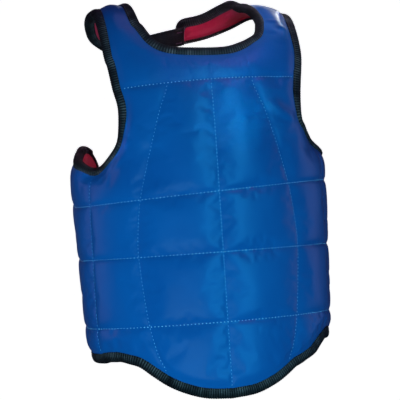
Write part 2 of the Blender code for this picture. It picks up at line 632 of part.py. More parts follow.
# elastic from one padded end to the other, sewn under both
end_l = strap_grid(STRAP_L_IN, STRAP_L_OUT, 15, 5)
end_r = strap_grid(STRAP_R_IN, STRAP_R_OUT, 15, 5)
n_l, n_r = -normals_of(end_l), normals_of(end_r)
under = STRAP_PAD / 2 + TAPE_CLEAR + TAPE_T + 0.0024
stations = []
for p, n, ks in ((end_l, n_l, (-2, -1)), (end_r, n_r, (-1, -2, -3))):
    for k in ks:
        mid, d = p[k, 2], p[k, -1] - p[k, 0]
        stations.append((mid - n[k, 2] * under, d / np.linalg.norm(d), n[k, 2]))
mids = smooth([s[0] for s in stations], 15)
ways = smooth([s[1] for s in stations], 15)
ways /= np.linalg.norm(ways, axis=1, keepdims=True)
f = np.linspace(-NECK_W / 2, NECK_W / 2, 3)[None, :, None]
ribbon = mids[:, None] + ways[:, None] * f
solid(add("neck_elastic", ribbon.reshape(-1, 3), ribbon_faces(15, 3, False), "elastic"), NECK_T, 1)

# ---------------------------------------------------------------- joints: each moving piece hangs from an empty on its axis
pieces = [obj for obj in model.objects if obj.type == "MESH"]
for obj in pieces:
    obj.data.shade_smooth()
for name, (point, starts) in JOINTS.items():
    pivot = bpy.data.objects.new(name, None)
    pivot.empty_display_size = 0.04
    pivot.location = point
    model.objects.link(pivot)
    for obj in pieces:
        if obj.parent is None and obj.name.startswith(starts):
            obj.parent = pivot
            obj.matrix_parent_inverse = Matrix.Translation(pivot.location).inverted()
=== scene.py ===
"""Looks of a padded chest protector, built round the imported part.

Metres, +Z up, the front faces -Y and the wearer's left is +X. Every surface is worked out from the same torso
shape as the solids: angle t round the torso from the front, and height v, which counts arc length above the chest.
"""

import json
import math

import bpy
import numpy as np
from mathutils import Matrix, Vector, kdtree, noise

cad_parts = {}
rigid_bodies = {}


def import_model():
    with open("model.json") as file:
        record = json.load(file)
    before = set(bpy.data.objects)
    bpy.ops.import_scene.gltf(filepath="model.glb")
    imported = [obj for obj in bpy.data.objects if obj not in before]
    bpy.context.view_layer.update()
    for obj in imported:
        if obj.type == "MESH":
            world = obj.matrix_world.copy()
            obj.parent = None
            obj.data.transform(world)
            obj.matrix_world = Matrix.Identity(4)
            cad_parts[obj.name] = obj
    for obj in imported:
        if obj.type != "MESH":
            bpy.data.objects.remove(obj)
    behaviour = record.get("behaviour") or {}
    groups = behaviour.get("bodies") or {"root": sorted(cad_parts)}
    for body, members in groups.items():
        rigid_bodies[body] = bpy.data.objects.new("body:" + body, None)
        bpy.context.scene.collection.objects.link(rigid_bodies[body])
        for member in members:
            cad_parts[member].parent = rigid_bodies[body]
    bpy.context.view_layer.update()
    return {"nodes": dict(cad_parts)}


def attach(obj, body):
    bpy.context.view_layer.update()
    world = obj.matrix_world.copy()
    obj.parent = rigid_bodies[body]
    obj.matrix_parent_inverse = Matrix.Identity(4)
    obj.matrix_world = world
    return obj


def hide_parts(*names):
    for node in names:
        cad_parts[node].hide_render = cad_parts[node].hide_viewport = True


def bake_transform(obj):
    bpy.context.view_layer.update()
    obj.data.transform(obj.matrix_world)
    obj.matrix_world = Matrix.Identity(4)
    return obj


for old in list(bpy.data.objects):
    bpy.data.objects.remove(old, do_unlink=True)

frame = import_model()

# ---------------------------------------------------------------- dimensions shared with the solids
EYE = 0.325
HALF_W, W_TAPER = 0.178, 0.0346
HALF_D, D_TAPER = 0.119, 0.020
Z_LEAN, RIDGE, RIDGE_FALL, RIDGE_TILT, ARC = 0.130, 0.3346, 0.0352, 0.00933, 0.210
FULLER, FULLER_L = 0.012, 0.011
V_RIDGE = Z_LEAN + ARC * math.pi / 2
PAD = 0.016
WING_END = 140.0
SEAM_MID, SEAM_LEAN = 67.8, 28.0
H4, H3 = -0.1155, -0.0225
H2_MID, H2_LEAN = 0.0585, 0.0085
H1_MID = 0.2085
BAND_H, BAND_T = 0.045, 0.0018
BAND_MID = (-0.006, -0.088)
NECK_W, NECK_T = 0.034, 0.0020

ARM_RIGHT = [(-47.0, None), (-47.0, 0.262), (-45.7, 0.235), (-44.5, 0.205), (-42.75, 0.178), (-43.9, 0.148),
             (-45.9, 0.1314), (-49.8, 0.120), (-56.5, 0.1085), (-62.0, 0.1018), (-68.0, 0.1005), (-80.0, 0.1040)]
ARM_LEFT = [(50.3, None), (50.3, 0.272), (50.6, 0.245), (50.0, 0.229), (48.0, 0.204), (46.9, 0.178), (47.5, 0.153),
            (50.5, 0.142), (53.4, 0.1338), (58.5, 0.1252), (65.0, 0.1188), (68.0, 0.1165), (80.0, 0.1145)]
NECK = [(-27.1, None), (-26.6, 0.3045), (-25.1, 0.2915), (-21.5, 0.2700), (-14.8, 0.2579), (-2.9, 0.2538), (7.9, 0.2537),
        (14.8, 0.2591), (19.9, 0.2655), (24.1, 0.2735), (26.2, 0.2872), (26.6, 0.302), (22.4, None)]
HEM = [(0, -0.215), (12, -0.2116), (22, -0.2021), (30, -0.1907), (37, -0.1782), (44, -0.1670), (52, -0.1645),
       (60, -0.1610), (68, -0.157), (80, -0.156)]
# the hem hangs a little unevenly: degrees from the front, and how much higher it is there
HEM_SAG = [(-115, 0.0), (-98, -0.0050), (-85, -0.0065), (-73, -0.0058), (-68, -0.0036), (-65, -0.0020), (-61, 0.0004), (-57, 0.0025),
           (-52.5, 0.0024), (-48, 0.0006), (-43, -0.0014), (-37, -0.0028), (-30, -0.0034), (-22, -0.0030), (-10, -0.0022),
           (10, -0.0020), (22, -0.0018), (33, -0.0018), (37, -0.0044), (41, -0.0080), (45.5, -0.0090), (51, -0.0054), (57, 0.0004),
           (63, 0.0028), (68, 0.0032), (75, 0.0022), (84, 0.0), (115, 0.0)]
PRINCESS = [(-0.190, 29.0), (-0.172, 30.3), (-0.154, 33.0), (-0.110, 36.4), (-0.040, 38.5), (0.0, 38.4),
            (0.052, 35.5), (0.088, 32.0), (0.125, 28.0), (0.165, 23.5), (0.205, 18.4), (0.240, 19.6), (0.272, 22.6)]
WING_TOP_R = [(62, 0.1010), (68, 0.1020), (74, 0.1080), (80, 0.1140), (86, 0.1190), (92, 0.1240), (102, 0.1325), (109, 0.136),
              (118, 0.133), (127, 0.118), (134, 0.088), (138, 0.056), (140, 0.025)]
WING_TOP_L = [(62, 0.1210), (68, 0.1165), (75, 0.1120), (82, 0.1095), (92, 0.1130), (102, 0.1275), (109, 0.136), (118, 0.133),
              (127, 0.118), (134, 0.088), (138, 0.056), (140, 0.025)]
WING_LOW = [(68, -0.157), (80, -0.156), (118, -0.155), (130, -0.151), (137, -0.141), (140, -0.122)]
STRAP_L_IN = [(70.6, 0, 317.6), (70.6, 16, 322.5), (68.0, 32, 329.5), (58.5, 57, 327.5), (37, 84, 319.5), (6, 97, 316)]
STRAP_L_OUT = [(142, 0, 298.2), (135, 28, 301.5), (112, 62, 313), (85, 98, 303), (50, 117, 292), (5, 130, 285)]
STRAP_R_IN = [(-85.4, 0, 323.8), (-84.5, 35, 320), (-78.5, 64, 311), (-68, 82, 303)]
STRAP_R_OUT = [(-136.7, 0, 315.6), (-140, 20, 313.5), (-138.5, 45, 306), (-130, 76, 293), (-116, 98, 285), (-94, 119, 275)]

# ---------------------------------------------------------------- dimensions of the soft surface
LEATHER = 0.0010       # thickness of cover and lining
EDGE_H = 0.0045        # half thickness of the padding where the binding grips it
EDGE_R = 0.0040        # how far the rounded edge reaches in
GRIP = 0.0125          # the padding stays thin up to here, under the binding
FULL_AT = 0.0300       # and is full from here on
QUILT = 0.0026         # depth of a stitched channel
QUILT_LEN = 0.0050     # how fast the padding recovers beside it
PRESSURE = 3.0         # how hard the padding swells in the cloth simulation
SLACK = 0.007          # how much larger the covers are cut than what they cover
CAP = 0.0040           # the furthest a point may swell
TAPE_W = 0.0118        # binding on each face
RIB = 0.0033           # pitch of the binding's ribs
STITCH = 0.0035        # pitch of the quilting stitches


# ---------------------------------------------------------------- smooth curves through design points
def smooth(points, count):
    """count points along a curve through the given ones, evenly spaced by length."""
    p = np.array(points, float)
    ends = np.vstack([2 * p[0] - p[1], p, 2 * p[-1] - p[-2]])
    fine = []
    for k in range(len(p) - 1):
        a, b, c, d = ends[k:k + 4]
        u = np.linspace(0, 1, 24, endpoint=False)[:, None]
        fine.append(0.5 * (2 * b + (c - a) * u + (2 * a - 5 * b + 4 * c - d) * u ** 2 + (3 * b - a - 3 * c + d) * u ** 3))
    fine = np.vstack(fine + [p[-1:]])
    run = np.r_[0, np.cumsum(np.linalg.norm(np.diff(fine, axis=0), axis=1))]
    want = np.linspace(0, run[-1], count)
    return np.stack([np.interp(want, run, fine[:, k]) for k in range(fine.shape[1])], 1)


def along(points):
    """y as a smooth function of x, through points sorted by x."""
    big = abs(points[-1][0]) > 2
    line = smooth([(x * 0.001 if big else x, y) for x, y in points], 400)
    scale = 0.001 if big else 1.0
    return lambda x: np.interp(np.asarray(x, float) * scale, line[:, 0], line[:, 1])


def ease(x):
    x = np.clip(x, 0.0, 1.0)
    return x * x * (3 - 2 * x)


def unit(v):
    return v / np.maximum(np.linalg.norm(v, axis=-1, keepdims=True), 1e-12)


def run_of(points):
    """Length along a line of points."""
    return np.r_[0, np.cumsum(np.linalg.norm(np.diff(points, axis=0), axis=1))]


def resample(points, want):
    run = run_of(points)
    return np.stack([np.interp(want, run, points[:, k]) for k in range(points.shape[1])], 1)


# ---------------------------------------------------------------- the torso surface
def ridge_of(t):
    return RIDGE - RIDGE_FALL * np.sin(t) ** 2 - RIDGE_TILT * t


def to_v(deg, z):
    if z is None:
        return V_RIDGE
    if z <= Z_LEAN:
        return z
    return Z_LEAN + ARC * math.asin(min(1.0, (z - Z_LEAN) / (ridge_of(math.radians(deg)) - Z_LEAN)))


def outer(t, v):
    """Outside of the full padding at angle t (radians) and height v."""
    t, v = np.broadcast_arrays(np.asarray(t, float), np.asarray(v, float))
    phi = np.maximum(v - Z_LEAN, 0) / ARC
    z = np.where(v > Z_LEAN, Z_LEAN + (ridge_of(t) - Z_LEAN) * np.sin(phi), v)
    a = HALF_W + W_TAPER * z
    u = np.clip((v - Z_LEAN) / 0.20, 0, 1)
    fuller = FULLER + FULLER_L * np.clip((t - 0.45) / 0.40, 0, 1) ** 2
    b = HALF_D + D_TAPER * np.minimum(z, Z_LEAN) + fuller * u * u * (3 - 2 * u)
    # the binding draws the edges in: the tops of the wings, under the arms and the ends of the hem
    lean = np.clip((np.abs(t) - 1.15) / 0.5, 0, 1) * np.clip((v - 0.07) / 0.06, 0, 1) ** 2 * (0.008 - 0.002 * np.sign(t))
    roll = np.clip((v - 0.068 - 0.010 * np.sin(t)) / 0.035, 0, 1) ** 2 * ease((0.185 - v) / 0.070)
    lean = lean + (0.0075 - 0.0015 * np.sign(t)) * np.exp(-((np.abs(t) - 1.08) / 0.20) ** 2) * roll
    u = np.clip((np.abs(t) - 0.80) / 0.45, 0, 1)
    lean = lean + u * u * (3 - 2 * u) * (0.0035 - 0.0005 * np.sign(t)) * np.clip((-0.118 - v) / 0.040, 0, 1) ** 2
    return np.stack([(a - lean) * np.sin(t), -(b - lean) * np.cos(t) * np.cos(phi), z - EYE], -1)


def frame_at(t, v):
    e = 1e-4
    du = outer(np.asarray(t) + e, v) - outer(np.asarray(t) - e, v)
    dv = outer(t, np.asarray(v) + e) - outer(t, np.asarray(v) - e)
    n = unit(np.cross(du, dv))
    return du / (2 * e), dv / (2 * e), n


def at(t, v, off):
    """A point off metres outside the middle of the padding."""
    n = frame_at(t, v)[2]
    return outer(t, v) + n * (np.asarray(off)[..., None] - PAD / 2)


def edge_line(points, count):
    return smooth([(math.radians(d), to_v(d, z)) for d, z in points], count)


arm_r = edge_line(ARM_RIGHT, 500)
arm_l = edge_line(ARM_LEFT, 500)
neck = edge_line(NECK, 600)
hem_mean, hem_sag = along(HEM), along(HEM_SAG)
princess_at = along(PRINCESS)
top_r, top_l, low_w = along(WING_TOP_R), along(WING_TOP_L), along(WING_LOW)


def hem_at(deg):
    return hem_mean(np.abs(deg)) + hem_sag(deg)


def seam_t(v):
    return np.radians(SEAM_MID - SEAM_LEAN * np.minimum(np.asarray(v, float), 0.12))


def corner_of(line, height):
    return np.argmin(np.abs(line[:, 1] - to_v(0, height)) + (np.abs(line[:, 0]) > 1.0) * 9)


K_R, K_L = corner_of(arm_r, 0.1235), corner_of(arm_l, 0.138)
C_R, C_L = arm_r[K_R], arm_l[K_L]
upper_r, upper_l = arm_r[:K_R + 1][::-1], arm_l[:K_L + 1][::-1]
lower_r, lower_l = arm_r[K_R:][::-1], arm_l[K_L:]
NK_R = np.argmin(np.abs(neck[:, 0] - math.radians(-22.4)) + (neck[:, 1] > 0.33) * 9)
NK_L = np.argmin(np.abs(neck[:, 0] - math.radians(22.6)) + (neck[:, 1] > 0.33) * 9)
N_R, N_L = neck[NK_R], neck[NK_L]
neck_r, neck_l = neck[:NK_R + 1][::-1], neck[NK_L:]
neck_mid = neck[NK_R:NK_L + 1]


def z_to_v(t, z):
    return np.where(z > Z_LEAN, Z_LEAN + ARC * np.arcsin(np.clip((z - Z_LEAN) / (ridge_of(t) - Z_LEAN), 0, 1)), z)


def v_to_z(t, v):
    return np.where(v > Z_LEAN, Z_LEAN + (ridge_of(t) - Z_LEAN) * np.sin(np.maximum(v - Z_LEAN, 0) / ARC), v)


def column_lines(v):
    """The seven lines that run up the front: side, strap, princess, centre, princess, strap, side."""
    side = seam_t(v)
    low, a = -0.16, math.radians(50)
    t1 = np.where(v < C_R[1], -a + (C_R[0] + a) * (v - low) / (C_R[1] - low), np.interp(v, upper_r[:, 1], upper_r[:, 0]))
    t5 = np.where(v < C_L[1], a + (C_L[0] - a) * (v - low) / (C_L[1] - low), np.interp(v, upper_l[:, 1], upper_l[:, 0]))
    p = np.radians(princess_at(v_to_z(math.radians(22), v)))
    t2 = np.where(v < N_R[1], -p, np.interp(v, neck_r[:, 1], neck_r[:, 0]))
    t4 = np.where(v < N_L[1], p, np.interp(v, neck_l[:, 1], neck_l[:, 0]))
    return np.stack([-side, t1, t2, np.zeros_like(v), t4, t5, side])


def row_lines(t):
    """The lines that run across the front: hem, its margin, three stitch lines, strap base, yoke, neck, ridge."""
    base = np.interp(t, [C_R[0], C_L[0]], [C_R[1], C_L[1]])
    base = np.where(t < C_R[0], np.interp(t, lower_r[:, 0], lower_r[:, 1]), base)
    base = np.where(t > C_L[0], np.interp(t, lower_l[:, 0], lower_l[:, 1]), base)
    yoke = z_to_v(t, H1_MID + 0.004 * np.sin(t) - 0.006 * np.sin(t) ** 2)
    top = np.where(t < 0, N_R[1], N_L[1])
    top = np.where((t >= N_R[0]) & (t <= N_L[0]), np.interp(t, neck_mid[:, 0], neck_mid[:, 1]), top)
    low = hem_at(np.degrees(t))
    flat = np.zeros_like(t)
    return np.stack([low, low + 0.015, flat + H4, flat + H3, H2_MID + H2_LEAN * np.sin(t), base, yoke, top, flat + V_RIDGE])


BASE_ROW = 5
COLS = (16, 14, 46, 46, 14, 16)
ROWS = (6, 24, 38, 34, 26, 34, 20, 42)


def spread(counts):
    k = np.concatenate([np.full(n, i) for i, n in enumerate(counts)] + [[len(counts) - 1]])
    f = np.concatenate([np.arange(n) / n for n in counts] + [[1.0]])
    return k.astype(int), f


def front_grid(cols, rows):
    c, f = spread(cols)
    r, g = spread(rows)
    C, R = np.meshgrid(c, r, indexing="ij")
    F, G = np.meshgrid(f, g, indexing="ij")
    C, R, F, G = C.ravel(), R.ravel(), F.ravel(), G.ravel()
    V = np.where(R < BASE_ROW, 0.0, 0.25)
    pick = np.arange(len(C))
    for _ in range(60):
        lines = column_lines(V)
        T = lines[C, pick] + F * (lines[C + 1, pick] - lines[C, pick])
        marks = row_lines(T)
        V = V + 0.6 * (marks[R, pick] + G * (marks[R + 1, pick] - marks[R, pick]) - V)
    shape = (len(c), len(r))
    cc, rr = c[:-1][:, None], r[:-1][None, :]
    mask = (rr < BASE_ROW) | ((rr < BASE_ROW + 2) & (cc >= 1) & (cc <= 4)) | (cc == 1) | (cc == 4)
    return T.reshape(shape), V.reshape(shape), mask


WING_ROWS = (16, 36, 34, 18)
WING_COLS = 66


def wing_grid(sign, cols, rows):
    top = top_l if sign > 0 else top_r
    r, g = spread(rows)
    f = 1 - (1 - np.arange(cols + 1) / cols) ** 1.15
    F, R = np.meshgrid(f, r, indexing="ij")
    G = np.broadcast_to(g, F.shape)
    F, R, G = F.ravel(), R.ravel(), G.ravel()
    pick = np.arange(len(F))
    V = np.zeros(len(F))
    for _ in range(50):
        s = np.degrees(seam_t(V))
        d = s + F * (WING_END - s)
        lo, hi = low_w(np.maximum(d, 68)) + hem_sag(sign * d), top(d)
        mix = np.maximum(0.0, (d - 85) / (WING_END - 85))
        marks = np.stack([lo, lo * 0 + H4, lo * 0 + H3, lo * 0 + H2_MID + sign * H2_LEAN * 0.93, hi])
        even = np.stack([lo + (hi - lo) * q for q in (0, 0.22, 0.53, 0.83, 1)])
        marks = marks + (even - marks) * mix
        V = V + 0.7 * (marks[R, pick] + G * (marks[R + 1, pick] - marks[R, pick]) - V)
    shape = (cols + 1, len(r))
    T, V = (np.radians(d) * sign).reshape(shape), V.reshape(shape)
    if sign < 0:
        T, V = T[::-1], V[::-1]
    return T, V, np.ones((cols, len(r) - 1), bool)


def wing_edge(sign):
    top = top_l if sign > 0 else top_r
    d = np.linspace(63, WING_END, 220)
    up = np.stack([np.radians(d), top(d)], 1)
    down = np.stack([np.radians(d[::-1]), low_w(d[::-1]) + hem_sag(sign * d[::-1])], 1)
    end = np.stack([np.full(80, up[-1, 0]), np.linspace(up[-1, 1], down[0, 1], 80)], 1)
    line = np.vstack([up, end[1:-1], down])
    line[:, 0] *= sign
    return line


hem_line = np.stack([np.radians(np.linspace(-80, 80, 420)), hem_at(np.linspace(-80, 80, 420))], 1)
wing_r, wing_l = wing_edge(-1), wing_edge(1)
front_arm_r = arm_r[np.abs(arm_r[:, 0]) <= math.radians(69)]
front_arm_l = arm_l[np.abs(arm_l[:, 0]) <= math.radians(69)]


# ---------------------------------------------------------------- distances, noise
def tree_of(points):
    tree = kdtree.KDTree(len(points))
    for k, p in enumerate(points):
        tree.insert(p, k)
    tree.balance()
    return tree


def nearest(tree, points):
    flat = points.reshape(-1, 3)
    found = [tree.find(p) for p in flat]
    d = np.array([x[2] for x in found]).reshape(points.shape[:-1])
    k = np.array([x[1] for x in found]).reshape(points.shape[:-1])
    return d, k


def fuzz(points, size, seed):
    """Smooth noise from -1 to 1 with features of that size, in metres."""
    flat = points.reshape(-1, 3) / size + seed * 17.3
    return np.array([noise.noise(p) for p in flat]).reshape(points.shape[:-1])


def fuzz_line(s, seed):
    s = np.asarray(s, float)
    return np.array([noise.noise((x, seed * 9.7, 0.5)) for x in s.ravel()]).reshape(s.shape)


def under_arm(d, v):
    """Under the arms the padded edge rolls in, and less of the binding lies on the outside; beside the left arm more does."""
    flat = 0.42 * ease((v - 0.165) / 0.035) * ease((0.43 - v) / 0.09) * (d > 0)
    return 1 + flat - 0.50 * ease((0.175 - v) / 0.040)


def wing_top(d, v):
    """The same just behind the side seams."""
    left = 1 - 0.60 * ease((96 - d) / 18) * (v > 0.02) + 0.45 * ease((84 - d) / 14) * (v < -0.1)
    right = 1 - 0.45 * ease((84 + d) / 14) * (v > 0.02)
    return np.where(d > 0, left, right)


def wing_top_in(d, v):
    """Behind the arms it rolls out, and less of the binding lies on the inside."""
    return 1 - 0.80 * ease((np.abs(d) - 94) / 10) * ease((134 - np.abs(d)) / 6) * (v > 0.02)


def neck_side(d, v):
    """Beside the neck on the left the edge is rolled in too."""
    return 1 - 0.28 * ease((d - 13) / 9) * ease((V_RIDGE - 0.004 - v) / 0.03)


def hem_side(d, v):
    """More of the binding shows at the hem, most of all beside the left seam."""
    return 1.10 - 0.10 * ease((-d - 62) / 5) + 0.35 * ease((d - 44) / 9)


def whole(d, v):
    return np.ones_like(v)


EDGE_SETS = ((front_arm_r, under_arm, whole), (front_arm_l, under_arm, whole), (neck, neck_side, whole), (hem_line, hem_side, whole),
             (wing_r, wing_top, wing_top_in), (wing_l, wing_top, wing_top_in))
EDGES = np.vstack([outer(l[:, 0], l[:, 1]) for l, _, _ in EDGE_SETS])
EDGE_SHARE = np.concatenate([f(np.degrees(l[:, 0]), l[:, 1]) for l, f, _ in EDGE_SETS])
EDGE_SHARE_IN = np.concatenate([f(np.degrees(l[:, 0]), l[:, 1]) for l, _, f in EDGE_SETS])
edge_tree = tree_of(EDGES)


def grip_of(share):
    """How far the binding holds the padding thin, where that share of it lies on this face."""
    return EDGE_R + (GRIP - EDGE_R) * share


def half_of(d, edge=EDGE_H, full=PAD / 2, grip=GRIP):
    """Half thickness of the padding at d metres from its bound edge: rounded, thin under the binding, then full."""
    x = np.clip(1 - d / EDGE_R, 0, 1)
    thin = 0.0003 + (edge - 0.0003) * np.sqrt(np.clip(1 - x * x, 0, 1))
    u = np.clip((d - grip) / (FULL_AT - GRIP), 0, 1)
    return thin + (full - edge) * (1 - (1 - u) ** 2.2)


# ---------------------------------------------------------------- materials
def nodes_of(name):
    m = bpy.data.materials.new(name)
    m.use_nodes = True
    tree = m.node_tree
    return m, tree.nodes, tree.links, tree.nodes["Principled BSDF"]


def put(nodes, kind, **values):
    n = nodes.new(kind)
    for key, value in values.items():
        if key in n.inputs:
            n.inputs[key].default_value = value
        else:
            setattr(n, key, value)
    return n


def ramp(nodes, stops):
    n = nodes.new("ShaderNodeValToRGB")
    while len(n.color_ramp.elements) < len(stops):
        n.color_ramp.elements.new(0.5)
    for e, (pos, colour) in zip(n.color_ramp.elements, stops):
        e.position = pos
        e.color = (*colour, 1) if len(colour) == 3 else colour
    return n


def spread_of(nodes, links, socket, low, high, a=0.0, b=1.0):
    n = nodes.new("ShaderNodeMapRange")
    n.inputs["From Min"].default_value, n.inputs["From Max"].default_value = a, b
    n.inputs["To Min"].default_value, n.inputs["To Max"].default_value = low, high
    links.new(socket, n.inputs["Value"])
    return n.outputs["Result"]


def leather(name, dark, mid, light, rough, sheen):
    """Coated leather: pebbled grain, slow changes of tone, and a satin finish that varies a little."""
    m, nodes, links, shader = nodes_of(name)
    where = nodes.new("ShaderNodeTexCoord").outputs["Object"]
    slow = put(nodes, "ShaderNodeTexNoise", Scale=11.0, Detail=3.0, Roughness=0.55)
    fine = put(nodes, "ShaderNodeTexNoise", Scale=520.0, Detail=3.0, Roughness=0.6)
    cells = put(nodes, "ShaderNodeTexVoronoi", Scale=760.0, Randomness=1.0, feature="SMOOTH_F1")
    for n in (slow, fine, cells):
        links.new(where, n.inputs["Vector"])
    tone = ramp(nodes, [(0.30, dark), (0.52, mid), (0.78, light)])
    links.new(slow.outputs["Fac"], tone.inputs["Fac"])
    links.new(tone.outputs["Color"], shader.inputs["Base Color"])
    links.new(spread_of(nodes, links, slow.outputs["Fac"], rough - 0.05, rough + 0.06, 0.3, 0.7), shader.inputs["Roughness"])
    mixed = put(nodes, "ShaderNodeMath", operation="MULTIPLY_ADD")
    mixed.inputs[1].default_value = 0.6
    links.new(cells.outputs["Distance"], mixed.inputs[0])
    links.new(fine.outputs["Fac"], mixed.inputs[2])
    bump = put(nodes, "ShaderNodeBump", Strength=0.10, Distance=0.0004)
    links.new(mixed.outputs["Value"], bump.inputs["Height"])
    links.new(bump.outputs["Normal"], shader.inputs["Normal"])
    shader.inputs["Specular IOR Level"].default_value = sheen
    shader.inputs["Coat Weight"].default_value = 0.07
    shader.inputs["Coat Roughness"].default_value = 0.18
    return m


def knit(name, dark, light, scale=1.0):
    """Ribbed knit: rows of small loops across each rib, matt, with a painted highlight: a lighter colour on the rib
    crests.
    """
    m, nodes, links, shader = nodes_of(name)
    uv = nodes.new("ShaderNodeTexCoord").outputs["UV"]
    grid = put(nodes, "ShaderNodeMapping")
    grid.inputs["Scale"].default_value = (1 / 0.00115, 1 / 0.0009, 1)
    links.new(uv, grid.inputs["Vector"])
    loops = put(nodes, "ShaderNodeTexVoronoi", Scale=1.0, Randomness=0.25)
    links.new(grid.outputs["Vector"], loops.inputs["Vector"])
    where = nodes.new("ShaderNodeTexCoord").outputs["Object"]
    lint = put(nodes, "ShaderNodeTexNoise", Scale=900.0 * scale, Detail=2.0)
    slow = put(nodes, "ShaderNodeTexNoise", Scale=60.0, Detail=2.0)
    links.new(where, lint.inputs["Vector"])
    links.new(where, slow.inputs["Vector"])
    # painted highlight: the crest attribute puts the lighter colour on the rib crests, brightest at the loop centres
    crest = put(nodes, "ShaderNodeAttribute", attribute_name="crest")
    shine = put(nodes, "ShaderNodeMath", operation="MULTIPLY")
    links.new(crest.outputs["Fac"], shine.inputs[0])
    links.new(spread_of(nodes, links, slow.outputs["Fac"], 0.45, 1.0, 0.38, 0.62), shine.inputs[1])
    loud = put(nodes, "ShaderNodeMath", operation="MULTIPLY")
    links.new(shine.outputs["Value"], loud.inputs[0])
    links.new(spread_of(nodes, links, loops.outputs["Distance"], 1.0, 0.35, 0.1, 0.7), loud.inputs[1])
    tone = ramp(nodes, [(0.0, dark), (1.0, light)])
    links.new(loud.outputs["Value"], tone.inputs["Fac"])
    links.new(tone.outputs["Color"], shader.inputs["Base Color"])
    links.new(spread_of(nodes, links, lint.outputs["Fac"], 0.72, 0.95, 0.3, 0.7), shader.inputs["Roughness"])
    bump = put(nodes, "ShaderNodeBump", Strength=0.5, Distance=0.0004)
    links.new(loops.outputs["Distance"], bump.inputs["Height"])
    links.new(bump.outputs["Normal"], shader.inputs["Normal"])
    shader.inputs["Specular IOR Level"].default_value = 0.2
    return m


def woven(name, dark, light, across, down, rough=0.75):
    """Woven elastic or hook-and-loop tape, from the piece's own length and width coordinates."""
    m, nodes, links, shader = nodes_of(name)
    uv = nodes.new("ShaderNodeTexCoord").outputs["UV"]
    grid = put(nodes, "ShaderNodeMapping")
    grid.inputs["Scale"].default_value = (1 / across, 1 / down, 1)
    links.new(uv, grid.inputs["Vector"])
    checks = put(nodes, "ShaderNodeTexVoronoi", Scale=1.0, Randomness=0.15)
    links.new(grid.outputs["Vector"], checks.inputs["Vector"])
    where = nodes.new("ShaderNodeTexCoord").outputs["Object"]
    lint = put(nodes, "ShaderNodeTexNoise", Scale=700.0, Detail=3.0)
    links.new(where, lint.inputs["Vector"])
    mix = put(nodes, "ShaderNodeMath", operation="MULTIPLY")
    links.new(checks.outputs["Distance"], mix.inputs[0])
    links.new(spread_of(nodes, links, lint.outputs["Fac"], 0.5, 1.4, 0.3, 0.7), mix.inputs[1])
    tone = ramp(nodes, [(0.15, light), (0.75, dark)])
    links.new(mix.outputs["Value"], tone.inputs["Fac"])
    links.new(tone.outputs["Color"], shader.inputs["Base Color"])
    links.new(spread_of(nodes, links, lint.outputs["Fac"], rough - 0.1, rough + 0.1, 0.3, 0.7), shader.inputs["Roughness"])
    bump = put(nodes, "ShaderNodeBump", Strength=0.6, Distance=0.0003, invert=True)
    links.new(mix.outputs["Value"], bump.inputs["Height"])
    links.new(bump.outputs["Normal"], shader.inputs["Normal"])
    shader.inputs["Specular IOR Level"].default_value = 0.25
    return m


def thread(name, dark, light):
    """Twisted sewing thread."""
    m, nodes, links, shader = nodes_of(name)
    where = nodes.new("ShaderNodeTexCoord").outputs["Object"]
    twist = put(nodes, "ShaderNodeTexNoise", Scale=1500.0, Detail=2.0)
    links.new(where, twist.inputs["Vector"])
    tone = ramp(nodes, [(0.3, dark), (0.7, light)])
    links.new(twist.outputs["Fac"], tone.inputs["Fac"])
    links.new(tone.outputs["Color"], shader.inputs["Base Color"])
    bump = put(nodes, "ShaderNodeBump", Strength=0.3, Distance=0.0002)
    links.new(twist.outputs["Fac"], bump.inputs["Height"])
    links.new(bump.outputs["Normal"], shader.inputs["Normal"])
    shader.inputs["Roughness"].default_value = 0.5
    return m


BLUE = leather("blue_coated_leather", (0.0010, 0.076, 0.322), (0.0008, 0.087, 0.352), (0.0010, 0.098, 0.381), 0.34, 0.16)
RED = leather("red_coated_leather", (0.56, 0.024, 0.070), (0.66, 0.030, 0.086), (0.76, 0.040, 0.106), 0.32, 0.30)
TAPE = knit("black_rib_knit", (0.0012, 0.0016, 0.0026), (0.18, 0.20, 0.24))
ELASTIC = woven("black_elastic", (0.0022, 0.0028, 0.0036), (0.016, 0.019, 0.022), 0.0011, 0.0016)
HOOK = woven("black_hook_tape", (0.004, 0.004, 0.0045), (0.045, 0.045, 0.047), 0.0013, 0.0013, 0.5)
LOOP = woven("black_loop_tape", (0.010, 0.010, 0.0105), (0.040, 0.040, 0.042), 0.0009, 0.0009, 0.9)
BLUE_THREAD = thread("light_blue_thread", (0.12, 0.47, 0.86), (0.26, 0.64, 1.0))
# a darker copy of the light blue thread for the upright stitch lines: painted shade, so these lines show dimmer than
# the rows across
SHADED_THREAD = thread("blue_thread", (0.050, 0.28, 0.64), (0.10, 0.38, 0.78))
BLACK_THREAD = thread("black_thread", (0.006, 0.006, 0.007), (0.03, 0.03, 0.032))
PURPLE_THREAD = thread("purple_thread", (0.09, 0.035, 0.10), (0.22, 0.12, 0.22))


# ---------------------------------------------------------------- meshes
def mesh_object(name, points, faces, mat, uv=None, crest=None):
    used, index = np.unique(np.asarray(faces).ravel(), return_inverse=True)
    points = np.asarray(points, float)[used]
    faces = index.reshape(np.asarray(faces).shape)
    mesh = bpy.data.meshes.new(name)
    mesh.from_pydata(points.tolist(), [], faces.tolist())
    mesh.polygons.foreach_set("use_smooth", np.ones(len(faces), bool))
    if uv is not None:
        layer = mesh.uv_layers.new(name="UVMap")
        corner = np.zeros(len(mesh.loops), np.int32)
        mesh.loops.foreach_get("vertex_index", corner)
        layer.data.foreach_set("uv", np.asarray(uv, np.float32)[used][corner].ravel())
    if crest is not None:
        attribute = mesh.attributes.new("crest", "FLOAT", "POINT")
        attribute.data.foreach_set("value", np.asarray(crest, np.float32)[used])
    mesh.materials.append(mat)
    mesh.update()
    obj = bpy.data.objects.new(name, mesh)
    bpy.context.scene.collection.objects.link(obj)
    return obj


